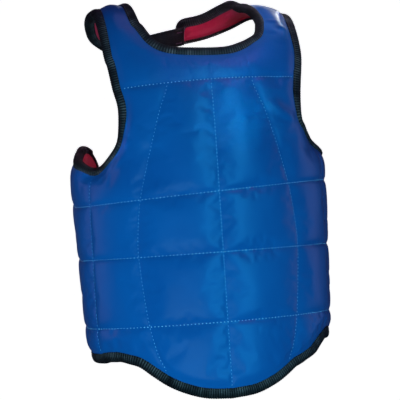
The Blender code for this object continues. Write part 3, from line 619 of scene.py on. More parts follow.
def quads(mask):
    nj = mask.shape[1] + 1
    i, j = np.nonzero(mask)
    k = i * nj + j
    return np.stack([k, k + nj, k + nj + 1, k + 1], 1)


def shell(name, out, inn, mask, mat, flip=False):
    """A closed sheet between two grids of points: out is the side that shows."""
    count = out.shape[0] * out.shape[1]
    top = quads(mask)
    if flip:
        top = top[:, ::-1]
    a, b = top.ravel(), np.roll(top, -1, axis=1).ravel()
    lone = ~np.isin(a * count + b, b * count + a)
    a, b = a[lone], b[lone]
    walls = np.stack([b, a, a + count, b + count], 1)
    faces = np.vstack([top, top[:, ::-1] + count, walls])
    obj = mesh_object(name, np.vstack([out.reshape(-1, 3), inn.reshape(-1, 3)]), faces, mat)
    obj.data.set_sharp_from_angle(angle=math.radians(50))
    return obj


def grid_normals(p):
    return unit(np.cross(np.gradient(p, axis=0), np.gradient(p, axis=1)))


# ---------------------------------------------------------------- the front: quilting
T, V, mask = front_grid(COLS, ROWS)
base = outer(T, V)
N = frame_at(T, V)[2]
ci, rj = np.r_[0, np.cumsum(COLS)], np.r_[0, np.cumsum(ROWS)]
edge_d, edge_k = nearest(edge_tree, base)
grip, grip_in = grip_of(EDGE_SHARE[edge_k]), grip_of(EDGE_SHARE_IN[edge_k])

FRONT_LINES = {
    "side_right": (np.s_[ci[0], rj[0]:rj[5] + 1]),
    "princess_right": (np.s_[ci[2], rj[0]:rj[6] + 1]),
    "centre": (np.s_[ci[3], rj[0]:rj[6] + 1]),
    "princess_left": (np.s_[ci[4], rj[0]:rj[6] + 1]),
    "side_left": (np.s_[ci[6], rj[0]:rj[5] + 1]),
    "hem_row": (np.s_[:, rj[2]]),
    "belly_row": (np.s_[:, rj[3]]),
    "rib_row": (np.s_[:, rj[4]]),
    "yoke": (np.s_[ci[1]:ci[5] + 1, rj[6]]),
}


def channels(points, lines, depth, size, ripple, seed=0, shallow=()):
    """How far the stitched channels pull the surface in, with puckers beside them; shallow lines pull less."""
    keep = np.ones(points.shape[:-1])
    pucker = np.zeros(points.shape[:-1])
    for k, line in enumerate(lines):
        fine = resample(line, np.arange(0, run_of(line)[-1], 0.0012))
        d, at_point = nearest(tree_of(fine), points)
        share = 0.3 if k in shallow else 1.0
        keep *= 1 - share * np.exp(-d / size)
        s = at_point * 0.0012
        pucker += share * np.exp(-d / 0.007) * np.clip(d / 0.0025, 0, 1) * (
            fuzz_line(s / 0.0075, seed + k) + 0.5 * fuzz_line(s / 0.0035, seed + k + 50))
    return depth * (1 - keep) + ripple * pucker


def inflate(points, mask, hold, pressure, slack, cap):
    """Swells a sheet between its stitched lines with a cloth simulation and gives each point's move.

    hold is 1 where thread or binding keeps the sheet in place. The sheet is a little larger than what it covers,
    so it puckers beside the thread. Every second point takes part; the others follow.
    """
    start, grip, cells = points[::2, ::2], hold[::2, ::2], mask[::2, ::2]
    faces = quads(cells)
    used, index = np.unique(faces.ravel(), return_inverse=True)
    flat = start.reshape(-1, 3)[used]
    obj = mesh_object("swelling_sheet", flat, index.reshape(faces.shape), BLUE)
    group = obj.vertex_groups.new(name="hold")
    for k, w in enumerate(grip.ravel()[used].tolist()):
        group.add([k], w, "REPLACE")
    cloth = obj.modifiers.new("cloth", "CLOTH")
    s = cloth.settings
    s.vertex_group_mass = "hold"
    s.effector_weights.gravity = 0
    s.quality, s.mass, s.air_damping = 6, 0.25, 1.0
    s.tension_stiffness = s.compression_stiffness = 18
    s.shear_stiffness, s.bending_stiffness = 8, 0.25
    s.use_pressure, s.uniform_pressure_force = True, pressure
    s.shrink_min = -slack
    cloth.collision_settings.use_collision = False
    cloth.point_cache.frame_start, cloth.point_cache.frame_end = 1, 20
    for k in range(1, 21):
        bpy.context.scene.frame_set(k)
    mesh = obj.evaluated_get(bpy.context.evaluated_depsgraph_get()).to_mesh()
    now = np.zeros(len(flat) * 3, np.float32)
    mesh.vertices.foreach_get("co", now)
    moved = np.zeros((start.shape[0] * start.shape[1], 3))
    moved[used] = now.reshape(-1, 3) - flat
    bpy.context.scene.frame_set(1)
    bpy.data.objects.remove(obj, do_unlink=True)
    far = np.linalg.norm(moved, axis=1, keepdims=True)
    moved = (moved * cap * np.tanh(far / cap) / np.maximum(far, 1e-9)).reshape(*start.shape)
    full = np.zeros(points.shape)
    full[::2, ::2] = moved
    full[1::2, ::2] = (moved[:-1] + moved[1:]) / 2
    full[:, 1::2] = (full[:, :-1:2] + full[:, 2::2]) / 2
    return full


front_lines = [base[s] for s in FRONT_LINES.values()]
SIDES = [k for k, name in enumerate(FRONT_LINES) if name.startswith("side")]
clear = ease((edge_d - grip + 0.0005) / 0.012)     # the binding holds the edge still
pull = channels(base, front_lines, QUILT, QUILT_LEN, 0.00020, shallow=SIDES)
soft = 0.0005 * fuzz(base, 0.050, 1) + 0.00020 * fuzz(base, 0.021, 2)


def fold(points, path, height, wide, side=0.0):
    """A crease along a path of (degrees, height) points: a soft ridge that fades at both ends."""
    line = np.array([[math.radians(d), to_v(d, z)] for d, z in path])
    line = smooth(line, 60)
    p = outer(line[:, 0], line[:, 1])
    d, k = nearest(tree_of(p), points)
    along_it = np.sin(np.pi * np.clip(k / 59.0, 0, 1)) ** 0.6
    return height * along_it * np.exp(-(d / wide) ** 2)


creases = (
    fold(base, [(24.5, 0.176), (33.0, 0.160), (40.5, 0.146)], 0.0022, 0.006)
    - fold(base, [(29.0, 0.184), (36.0, 0.172), (42.0, 0.160)], 0.0018, 0.008)
    + fold(base, [(-41.0, 0.128), (-38.5, 0.136)], 0.0012, 0.0030)
    + fold(base, [(-49.5, 0.099), (-45.0, 0.106), (-42.0, 0.114)], 0.0013, 0.0032)
    + fold(base, [(36.0, 0.283), (40.0, 0.2785), (44.5, 0.272)], 0.0016, 0.0032)
    + fold(base, [(31.0, 0.2925), (34.0, 0.2905), (37.0, 0.288)], 0.0010, 0.0028)
)
seam_up = base[ci[3], rj[6]:rj[7] + 1]
d_seam = nearest(tree_of(resample(seam_up, np.arange(0, run_of(seam_up)[-1], 0.001))), base)[0]
groove = 0.0008 * np.exp(-(d_seam / 0.0016) ** 2)

half = half_of(edge_d, grip=grip)
up = half + clear * (soft + creases - groove - pull)
cover_out = base + N * (up - PAD / 2)[..., None]
held = np.maximum(1 - ease((edge_d - grip) / 0.004), 0)
for name, where in FRONT_LINES.items():
    held[where] = np.maximum(held[where], 0.35 if name.startswith("side") else 1.0)
swell = inflate(cover_out, mask, held, PRESSURE, SLACK, CAP)
cover_out = cover_out + swell * clear[..., None]
cover_in = cover_out - N * np.minimum(LEATHER, 0.7 * half)[..., None]
front_cover = shell("front_cover_leather", cover_out, cover_in, mask, BLUE)

pull_in = channels(base, front_lines, 0.0022, 0.0065, 0.00030, 20)
half = half_of(edge_d, grip=grip_in)
clear = ease((edge_d - grip_in + 0.0005) / 0.012)
down = half + clear * (0.0005 * fuzz(base, 0.045, 5) - pull_in)
lining_out = base - N * (down + PAD / 2)[..., None]
lining_in = base - N * (down - np.minimum(LEATHER, 0.7 * half) + PAD / 2)[..., None]
front_lining = shell("front_lining_leather", lining_out, lining_in, mask, RED, flip=True)


# ---------------------------------------------------------------- stitches
def stitch_mesh(name, runs, mat, pitch=STITCH, length=0.0024, wide=0.00040, high=0.00034, sides=6):
    """Thread along lines of (points, normals): each stitch rises out of the sheet and goes back in."""
    points, faces = [], []
    steps = 5
    ring = np.linspace(0, 2 * np.pi, sides, endpoint=False)
    for p, n in runs:
        total = run_of(p)[-1]
        for s in np.arange(pitch * 0.5, total - pitch * 0.5, pitch):
            want = np.linspace(s - length / 2, s + length / 2, steps)
            q, m = resample(p, want) if total > 0 else p, None
            m = unit(np.stack([np.interp(want, run_of(p), n[:, k]) for k in range(3)], 1))
            tangent = unit(np.gradient(q, axis=0))
            side = unit(np.cross(tangent, m))
            u = np.linspace(-1, 1, steps)
            body = np.sqrt(np.clip(1 - 0.86 * u * u, 0, 1))
            rise = 0.00025 * (1 - u ** 4) - 0.00012
            first = len(points)
            for k in range(steps):
                for a in ring:
                    points.append(q[k] + m[k] * (rise[k] + high * body[k] * math.sin(a)) + side[k] * (wide * body[k] * math.cos(a)))
            for k in range(steps - 1):
                for a in range(sides):
                    b = (a + 1) % sides
                    faces.append((first + k * sides + a, first + k * sides + b, first + (k + 1) * sides + b, first + (k + 1) * sides + a))
            for k, order in ((0, -1), (steps - 1, 1)):
                cap = [first + k * sides + a for a in range(sides)][::order]
                for a in range(1, sides - 2, 2):
                    faces.append((cap[0], cap[a], cap[a + 1], cap[a + 2]))
    return mesh_object(name, np.array(points), np.array(faces), mat)


front_n = grid_normals(cover_out)
lining_n = -grid_normals(lining_out)
visible = edge_d > np.maximum(grip, GRIP) + 0.0003


def on_sheet(grid, normals, where, shown):
    """The part of a grid line that isn't under the binding."""
    p, n, s = grid[where], normals[where], shown[where]
    keep = np.nonzero(s)[0]
    if len(keep) < 4:
        return None
    return p[keep[0]:keep[-1] + 1], n[keep[0]:keep[-1] + 1]


def runs_on(grid, normals, lines, shown):
    return [r for r in (on_sheet(grid, normals, w, shown) for w in lines) if r is not None]


ACROSS = [FRONT_LINES[k] for k in ("hem_row", "belly_row", "rib_row", "yoke")]
UPRIGHT = [FRONT_LINES[k] for k in ("side_right", "princess_right", "centre", "princess_left")]
front_stitches = stitch_mesh("front_quilt_stitches_across", runs_on(cover_out, front_n, ACROSS, visible), BLUE_THREAD, pitch=0.0049, length=0.0017, wide=0.00062, high=0.00042)
# the upright lines use the darker copy of the thread, which is painted shade
upright_stitches = stitch_mesh("front_quilt_stitches_upright", runs_on(cover_out, front_n, UPRIGHT, visible), SHADED_THREAD, pitch=0.0049, length=0.0021, wide=0.00050)
lining_stitches = stitch_mesh("lining_quilt_stitches", runs_on(lining_out, lining_n, FRONT_LINES.values(), visible), BLUE_THREAD)


# ---------------------------------------------------------------- knitted binding
def tape_profile(h, wide):
    """Cross-section of the folded binding as (depth from the fold, offset): outside, then inside, both front to back."""
    a = np.radians(np.linspace(82, -82, 15))
    fold_out = np.stack([EDGE_R - 0.0051 * np.cos(a), (h + 0.0014) * np.sin(a)], 1)
    fold_in = np.stack([EDGE_R - 0.0043 * np.cos(a), (h + 0.00035) * np.sin(a)], 1)
    leg = [(wide + 0.0001, 0.00022), (wide + 0.0002, 0.0006), (wide - 0.0003, 0.00105), (wide - 0.0012, 0.00105), (wide - 0.0021, 0.00072),
           (wide - 0.0030, 0.00115), (wide - 0.0045, 0.0016), (wide - 0.0062, 0.0017)]
    leg_in = [(wide, 0.00018), (wide - 0.0002, 0.0002), (wide - 0.0006, 0.0002), (wide - 0.0012, 0.00022), (wide - 0.0021, 0.00022),
              (wide - 0.0030, 0.00025), (wide - 0.0045, 0.0003), (wide - 0.0062, 0.00035)]
    front = np.array([(x, h + y) for x, y in leg])
    front_in = np.array([(x, h + y) for x, y in leg_in])
    out = np.vstack([front, fold_out, front[::-1] * (1, -1)])
    inn = np.vstack([front_in, fold_in, front_in[::-1] * (1, -1)])
    return out, inn


def binding_mesh(name, place, run, h, mat, wide=TAPE_W, seed=0, bump=None, share=1.0, share_in=1.0):
    """Ribbed binding: place(depth, offset) gives the points of one profile corner for every station along run.

    share and share_in are how much of its width lies on the outside and the inside, where the edge is rolled.
    """
    out, inn = tape_profile(h, wide)

    def reach(x, y):
        return np.where(x > EDGE_R, EDGE_R + (x - EDGE_R) * (share if y > 0 else share_in), x)

    n = len(out)
    way = np.gradient(out, axis=0)
    away = unit(np.stack([way[:, 1], -way[:, 0]], 1))
    if away[n // 2][0] > 0:
        away = -away
    ribs = 0.5 + 0.5 * np.sin(2 * np.pi * run / RIB + 0.8 * fuzz_line(run / 0.02, seed))
    slack = 1.0 + 0.5 * fuzz_line(run / 0.035, seed + 3)
    edge_fade = np.ones(n)
    edge_fade[[0, 1, -1, -2]] = 0.0
    edge_fade[[2, 4, -3, -5]] = 0.5
    stations = len(run)
    wave = 0.0005 * fuzz_line(run / 0.03, seed + 7)
    # how strong the painted highlight on the rib crests is, varying along the binding
    sheen_strength = np.clip(0.75 + 0.55 * fuzz_line(run / 0.012, seed + 11) + 0.5 * fuzz_line(run / 0.005, seed + 13), 0.1, 1.4)
    rings, crest, uv = [], [], []
    around = run_of(out)
    for k in range(n):
        lift = 0.00045 * ribs * edge_fade[k] * slack
        leg = np.clip((out[k, 0] - 0.006) / 0.006, 0, 1)
        x = out[k, 0] + away[k, 0] * lift + wave * leg
        y = out[k, 1] + away[k, 1] * lift
        if bump is not None:
            x = x + bump * leg
        rings.append(place(reach(x, out[k, 1]), y))
        # painted highlight: the rib crests on the outer face get the lighter colour, less of it towards the fold
        near_edge = 0.25 + 0.75 * ease((out[k, 0] - 0.003) / 0.006)
        crest.append(ribs ** 2 * near_edge * sheen_strength)
        uv.append(np.stack([run, np.full(stations, around[k])], 1))
    for k in range(n - 1, -1, -1):
        leg = np.clip((inn[k, 0] - 0.006) / 0.006, 0, 1)
        x = inn[k, 0] + wave * leg
        if bump is not None:
            x = x + bump * leg
        rings.append(place(reach(x, inn[k, 1]), np.full(stations, inn[k, 1])))
        crest.append(np.zeros(stations))
        uv.append(np.stack([run, np.full(stations, around[k])], 1))
    grid = np.stack(rings, 1)
    m = 2 * n
    i, j = np.meshgrid(np.arange(stations - 1), np.arange(m), indexing="ij")
    i, j = i.ravel(), j.ravel()
    jn = (j + 1) % m
    faces = [np.stack([i * m + j, i * m + jn, (i + 1) * m + jn, (i + 1) * m + j], 1)]
    k = np.arange(n - 1)
    cap = np.stack([k, m - 1 - k, m - 2 - k, k + 1], 1)
    faces.append(cap)
    faces.append(cap[:, ::-1] + (stations - 1) * m)
    faces = np.vstack(faces)
    points = grid.reshape(-1, 3)
    obj = mesh_object(name, points, faces, mat, np.stack(uv, 1).reshape(-1, 2), np.stack(crest, 1).ravel())
    face_out(obj)
    return obj


def face_out(obj):
    """Turns a closed mesh the right way round."""
    mesh = obj.data
    mesh.calc_loop_triangles()
    p = np.zeros(len(mesh.vertices) * 3, np.float32)
    t = np.zeros(len(mesh.loop_triangles) * 3, np.int32)
    mesh.vertices.foreach_get("co", p)
    mesh.loop_triangles.foreach_get("vertices", t)
    c = p.reshape(-1, 3)[t.reshape(-1, 3)].astype(float)
    if np.einsum("ij,ij->i", c[:, 0], np.cross(c[:, 1], c[:, 2])).sum() < 0:
        mesh.flip_normals()
        mesh.update()


def torso_tape(name, line, inward, seed, h=EDGE_H, step=RIB / 4, ends=(0.0, 0.0), bump_at=None, share_at=None, share_in_at=None):
    run = run_of(outer(line[:, 0], line[:, 1]))
    want = np.arange(ends[0], run[-1] - ends[1], step)
    t, v = np.interp(want, run, line[:, 0]), np.interp(want, run, line[:, 1])
    p = outer(t, v)
    wide = 9
    tangent = np.gradient(p, axis=0)
    padded = np.pad(tangent, ((wide, wide), (0, 0)), mode="edge")
    tangent = unit(np.stack([np.convolve(padded[:, k], np.ones(2 * wide + 1) / (2 * wide + 1), "valid") for k in range(3)], 1))
    du, dv, n = frame_at(t, v)
    side = unit(np.cross(n, tangent)) * inward
    gram = np.stack([np.stack([(du * du).sum(1), (du * dv).sum(1)], 1), np.stack([(du * dv).sum(1), (dv * dv).sum(1)], 1)], 1)
    rhs = np.stack([(du * side).sum(1), (dv * side).sum(1)], 1)
    move = np.linalg.solve(gram, rhs[..., None])[..., 0]

    def place(depth, off):
        depth = np.broadcast_to(depth, t.shape)
        return at(t + move[:, 0] * depth, v + move[:, 1] * depth, np.broadcast_to(off, t.shape))

    bump = None
    if bump_at is not None:
        bump = sum(size * np.exp(-((want - s) / w) ** 2) for s, size, w in bump_at(t, v, want))
    share = np.ones(len(t)) if share_at is None else share_at(np.degrees(t), v)
    share_in = np.ones(len(t)) if share_in_at is None else share_in_at(np.degrees(t), v)
    obj = binding_mesh(name, place, want, h, TAPE, seed=seed, bump=bump, share=share, share_in=share_in)
    groove = [(place(EDGE_R + (TAPE_W - 0.0021 - EDGE_R) * share, h + 0.00085), n),
              (place(EDGE_R + (TAPE_W - 0.0021 - EDGE_R) * share_in, -h - 0.00085), -n)]
    return obj, groove


LAP = 0.010            # radians by which the two bindings lap over each other at a side seam


def cut_at_seam(line):
    keep = np.abs(line[:, 0]) <= seam_t(line[:, 1]) + LAP
    return line[:np.argmin(keep)] if not keep.all() else line


neck_tape, neck_groove = torso_tape("neckline_rib_binding", neck, -1, 1, share_at=neck_side)


arm_r_tape, arm_r_groove = torso_tape("right_armhole_rib_binding", cut_at_seam(arm_r), 1, 2, share_at=under_arm)
arm_l_tape, arm_l_groove = torso_tape("left_armhole_rib_binding", cut_at_seam(arm_l), -1, 3, share_at=under_arm)
hem_front = hem_line[np.abs(hem_line[:, 0]) <= seam_t(hem_line[:, 1]) + LAP]
hem_tape, hem_groove = torso_tape("hem_rib_binding", hem_front, 1, 4, share_at=hem_side)
tape_stitches = stitch_mesh("front_binding_stitches", neck_groove + arm_r_groove + arm_l_groove + hem_groove, BLACK_THREAD,
                            pitch=0.0032, length=0.0022, wide=0.00028, high=0.00024, sides=6)

FOAM = [n for n in frame["nodes"] if n.startswith("foam_")]
for obj, slot, stands_for in (
    (front_cover, "blue_leather", ["front_cover"] + FOAM),
    (front_lining, "red_leather", ["front_lining"]),
    (neck_tape, "knit_tape", ["neckline_binding"]),
    (arm_r_tape, "knit_tape", ["right_armhole_binding"]),
    (arm_l_tape, "knit_tape", ["left_armhole_binding"]),
    (hem_tape, "knit_tape", ["hem_binding"]),
    (front_stitches, None, []),
    (upright_stitches, None, []),
    (lining_stitches, None, []),
    (tape_stitches, None, []),
):
    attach(obj, "front_panel")
    if stands_for:
        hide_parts(*stands_for)

# ---------------------------------------------------------------- side wings
for sign, side in ((-1, "right"), (1, "left")):
    T, V, wmask = wing_grid(sign, WING_COLS, WING_ROWS)
    base = outer(T, V)
    N = frame_at(T, V)[2]
    wj = np.r_[0, np.cumsum(WING_ROWS)]
    seam_i = 0 if sign > 0 else WING_COLS
    line = wing_r if sign < 0 else wing_l
    edge_d, edge_k = nearest(edge_tree, base)
    grip, grip_in = grip_of(EDGE_SHARE[edge_k]), grip_of(EDGE_SHARE_IN[edge_k])
    half = half_of(edge_d, grip=grip)
    clear = ease((edge_d - grip + 0.0005) / 0.012)
    where =[np.s_[seam_i, :]] + [np.s_[:, j] for j in wj[1:-1]]
    lines = [base[w] for w in where]
    pull = channels(base, lines, QUILT, QUILT_LEN, 0.00020, 40 + 10 * sign, shallow=[0])
    soft = 0.0005 * fuzz(base, 0.050, 7 + sign) + 0.00020 * fuzz(base, 0.021, 9 + sign)
    up = half + clear * (soft - pull)
    out = base + N * (up - PAD / 2)[..., None]
    held = np.maximum(1 - ease((edge_d - grip) / 0.004), 0)
    held[where[0]] = 1.0
    for w in where[1:]:
        held[w] = 1.0
    out = out + inflate(out, wmask, held, PRESSURE, SLACK, CAP) * clear[..., None]
    cover = shell(f"{side}_wing_cover_leather", out, out - N * np.minimum(LEATHER, 0.7 * half)[..., None], wmask, BLUE)
    pull = channels(base, lines, 0.0022, 0.0065, 0.00030, 60 + 10 * sign)
    half = half_of(edge_d, grip=grip_in)
    clear = ease((edge_d - grip_in + 0.0005) / 0.012)
    down = half + clear * (0.0004 * fuzz(base, 0.045, 11 + sign) + 0.0007 * fuzz(base * (1, 1, 2.2), 0.014, 15 + sign) - pull)
    inside = base - N * (down + PAD / 2)[..., None]
    lining = shell(f"{side}_wing_lining_leather", inside, base - N * (down - np.minimum(LEATHER, 0.7 * half) + PAD / 2)[..., None], wmask, RED, flip=True)
    edge = line[np.abs(line[:, 0]) >= seam_t(line[:, 1]) - LAP]
    tape, groove = torso_tape(f"{side}_wing_rib_binding", edge, -sign, 5 + sign, share_at=wing_top, share_in_at=wing_top_in)
    shown = edge_d > 0.0128
    rows_only = where[1:]
    runs = runs_on(out, grid_normals(out), rows_only, shown)
    runs_in = runs_on(inside, -grid_normals(inside), rows_only, shown)
    stitches = stitch_mesh(f"{side}_wing_quilt_stitches", runs + runs_in, BLUE_THREAD)
    trim = stitch_mesh(f"{side}_wing_binding_stitches", groove, BLACK_THREAD, pitch=0.0032, length=0.0022, wide=0.00028, high=0.00024)
    hinge = np.array([sign * 0.16549, -0.04538, -0.32503])
    axis = np.array([sign * 0.0006, -0.06102, 0.99814])
    tangent = frame_at(sign * seam_t(0.0), 0.0)[0] * sign
    tangent = tangent - axis * (tangent @ axis)
    tangent = unit(tangent)
    start, end = hinge + tangent * 0.001, hinge + tangent * 0.034
    body = f"{side}_wing"
    for obj, slot, stands_for in (
        (cover, "blue_leather", [f"{side}_wing_cover"] + [f"{side}_wing_foam_{r}" for r in ("hem", "belly", "rib", "chest")]),
        (lining, "red_leather", [f"{side}_wing_lining"]),
        (tape, "knit_tape", [f"{side}_wing_binding"]),
        (stitches, None, []),
        (trim, None, []),
    ):
        tuple(start)
        tuple(end)
        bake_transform(obj)
        if stands_for:
            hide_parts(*stands_for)


# ---------------------------------------------------------------- closing bands across the back
REST = 0.0012 + 0.0045 + 0.0018 + 0.0004


def solid_half(t, v):
    p = outer(t, v)
    d = nearest(edge_tree, p)[0]
    u = np.clip((d - 0.015) / (0.038 - 0.015), 0, 1)
    return 0.0045 + 0.0035 * u * u * (3 - 2 * u)


def lie_on(t, z):
    wrap = np.where(np.abs(t) > math.pi, t - np.sign(t) * 2 * math.pi, t)
    inside = np.abs(wrap) < math.radians(WING_END)
    return np.where(inside, np.maximum(solid_half(np.where(inside, wrap, 0.0), z), REST), REST)


def strip(name, d0, d1, z_mid, height, lift, thick, mat, ribs=0, rib_h=0.0, crosswise=False):
    """A woven strip on the outside of the torso, with rounded edges and raised ribs along it."""
    length = math.radians(abs(d1 - d0)) * 0.15
    steps = max(24, int(length / 0.0016))
    t = np.radians(np.linspace(d0, d1, steps))
    n_across = max(25, ribs * 4 + 1)
    f = np.linspace(-0.5, 0.5, n_across)
    coarse = np.linspace(z_mid - height / 2, z_mid + height / 2, 3)
    Tc, Zc = np.meshgrid(np.radians(np.linspace(d0, d1, 28)), coarse, indexing="ij")
    rest = np.interp(t, np.radians(np.linspace(d0, d1, 28)), lie_on(Tc, Zc).max(1))
    Tg, Fg = np.meshgrid(t, f, indexing="ij")
    Zg = z_mid + Fg * height
    round_off = np.sqrt(np.clip(1 - np.clip((np.abs(Fg) * height - (height / 2 - 0.0009)) / 0.0009, 0, 1) ** 2, 0, 1))
    end = np.minimum(np.arange(steps), np.arange(steps)[::-1]) * (length / steps)
    round_end = np.sqrt(np.clip(1 - np.clip(1 - end / 0.0010, 0, 1) ** 2, 0, 1))[:, None]
    body = thick * (0.30 + 0.70 * np.minimum(round_off, round_end))
    if ribs:
        body = body + rib_h * (0.5 + 0.5 * np.cos(2 * np.pi * ribs * Fg)) * np.minimum(round_off, round_end)
    low = at(Tg, Zg, rest[:, None] + lift + 0 * Tg)
    high = at(Tg, Zg, rest[:, None] + lift + body)
    count = low.shape[0] * low.shape[1]
    top = quads(np.ones((steps - 1, n_across - 1), bool))
    a, b = top.ravel(), np.roll(top, -1, axis=1).ravel()
    lone = ~np.isin(a * count + b, b * count + a)
    a, b = a[lone], b[lone]
    faces = np.vstack([top, top[:, ::-1] + count, np.stack([b, a, a + count, b + count], 1)])
    uv = np.stack([(Tg - t[0]) * 0.15, Zg], -1).reshape(-1, 2)
    obj = mesh_object(name, np.vstack([high.reshape(-1, 3), low.reshape(-1, 3)]), faces, mat, np.vstack([uv, uv]))
    face_out(obj)
    return obj, high


def border(grid, inset_a, inset_b):
    """A stitch line round a grid, that many cells inside it."""
    n = unit(np.cross(np.gradient(grid, axis=0), np.gradient(grid, axis=1)))
    i0, i1 = inset_a, grid.shape[0] - 1 - inset_a
    j0, j1 = inset_b, grid.shape[1] - 1 - inset_b
    runs = [np.s_[i0:i1 + 1, j0], np.s_[i0:i1 + 1, j1], np.s_[i0, j0:j1 + 1], np.s_[i1, j0:j1 + 1]]
    return [(grid[r], n[r]) for r in runs]


def cross_lines(grid, inset_a, inset_b):
    n = unit(np.cross(np.gradient(grid, axis=0), np.gradient(grid, axis=1)))
    i = np.linspace(inset_a, grid.shape[0] - 1 - inset_a, 40)
    runs = []
    for flip in (False, True):
        j = np.linspace(inset_b, grid.shape[1] - 1 - inset_b, 40)
        j = j[::-1] if flip else j
        ii, jj = np.round(i).astype(int), np.round(j).astype(int)
        runs.append((grid[ii, jj], n[ii, jj]))
    return runs


STEP = 0.0004
LOOP_T, HOOK_T = 0.0012, 0.0015
for z_mid, level in zip(BAND_MID, ("upper", "lower")):
    loop_up = STEP
    hook_up = loop_up + LOOP_T + STEP
    band_up = hook_up + HOOK_T + STEP
    loop, loop_grid = strip(f"{level}_loop_patch_pile", 117, 134, z_mid, BAND_H + 0.006, loop_up, LOOP_T, LOOP)
    hook, hook_grid = strip(f"{level}_hook_tab_tape", 119, 131, z_mid, BAND_H - 0.004, hook_up, HOOK_T - 0.0001, HOOK)
    band, band_grid = strip(f"{level}_band_elastic", 118, 228.2, z_mid, BAND_H, band_up, BAND_T, ELASTIC, ribs=11, rib_h=0.00025)
    anchor, anchor_grid = strip(f"{level}_band_anchor_elastic", 228.3, 236, z_mid, BAND_H, STEP, band_up + BAND_T - STEP, ELASTIC, ribs=11, rib_h=0.00025)
    tab_end = band_grid[:22]
    sewn = stitch_mesh(f"{level}_band_stitches", border(tab_end, 2, 3) + cross_lines(tab_end, 3, 4), BLACK_THREAD, pitch=0.003, length=0.0022, wide=0.00035, high=0.0003)
    box = stitch_mesh(f"{level}_anchor_stitches", border(anchor_grid, 2, 3) + cross_lines(anchor_grid, 3, 4), BLACK_THREAD, pitch=0.003, length=0.0022, wide=0.00035, high=0.0003)
    patch = stitch_mesh(f"{level}_loop_patch_stitches", border(loop_grid, 2, 2), BLACK_THREAD, pitch=0.003, length=0.0022, wide=0.00030, high=0.00025)
    for obj, body, slot, node in (
        (loop, "left_wing", "loop_tape", f"{level}_loop_patch"),
        (patch, "left_wing", None, None),
        (hook, f"{level}_closure", "hook_tape", f"{level}_hook_tab"),
        (band, f"{level}_closure", "elastic", f"{level}_band"),
        (sewn, f"{level}_closure", None, None),
        (anchor, "right_wing", "elastic", f"{level}_band_anchor"),
        (box, "right_wing", None, None),
    ):
        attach(obj, body)
        if node:
            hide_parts(node)


# ---------------------------------------------------------------- padded straps behind the neck
def strap_edges(edge_in, edge_out, n_along):
    a = smooth(np.array(edge_in) * 0.001, n_along)
    b = smooth(np.array(edge_out) * 0.001, n_along)
    a[:, 2] -= EYE
    b[:, 2] -= EYE
    return a, b


def strap_middle(edge_in, edge_out, n_along, n_across):
    a, b = strap_edges(edge_in, edge_out, n_along)
    f = np.linspace(0, 1, n_across)[None, :, None]
    return a[:, None] * (1 - f) + b[:, None] * f


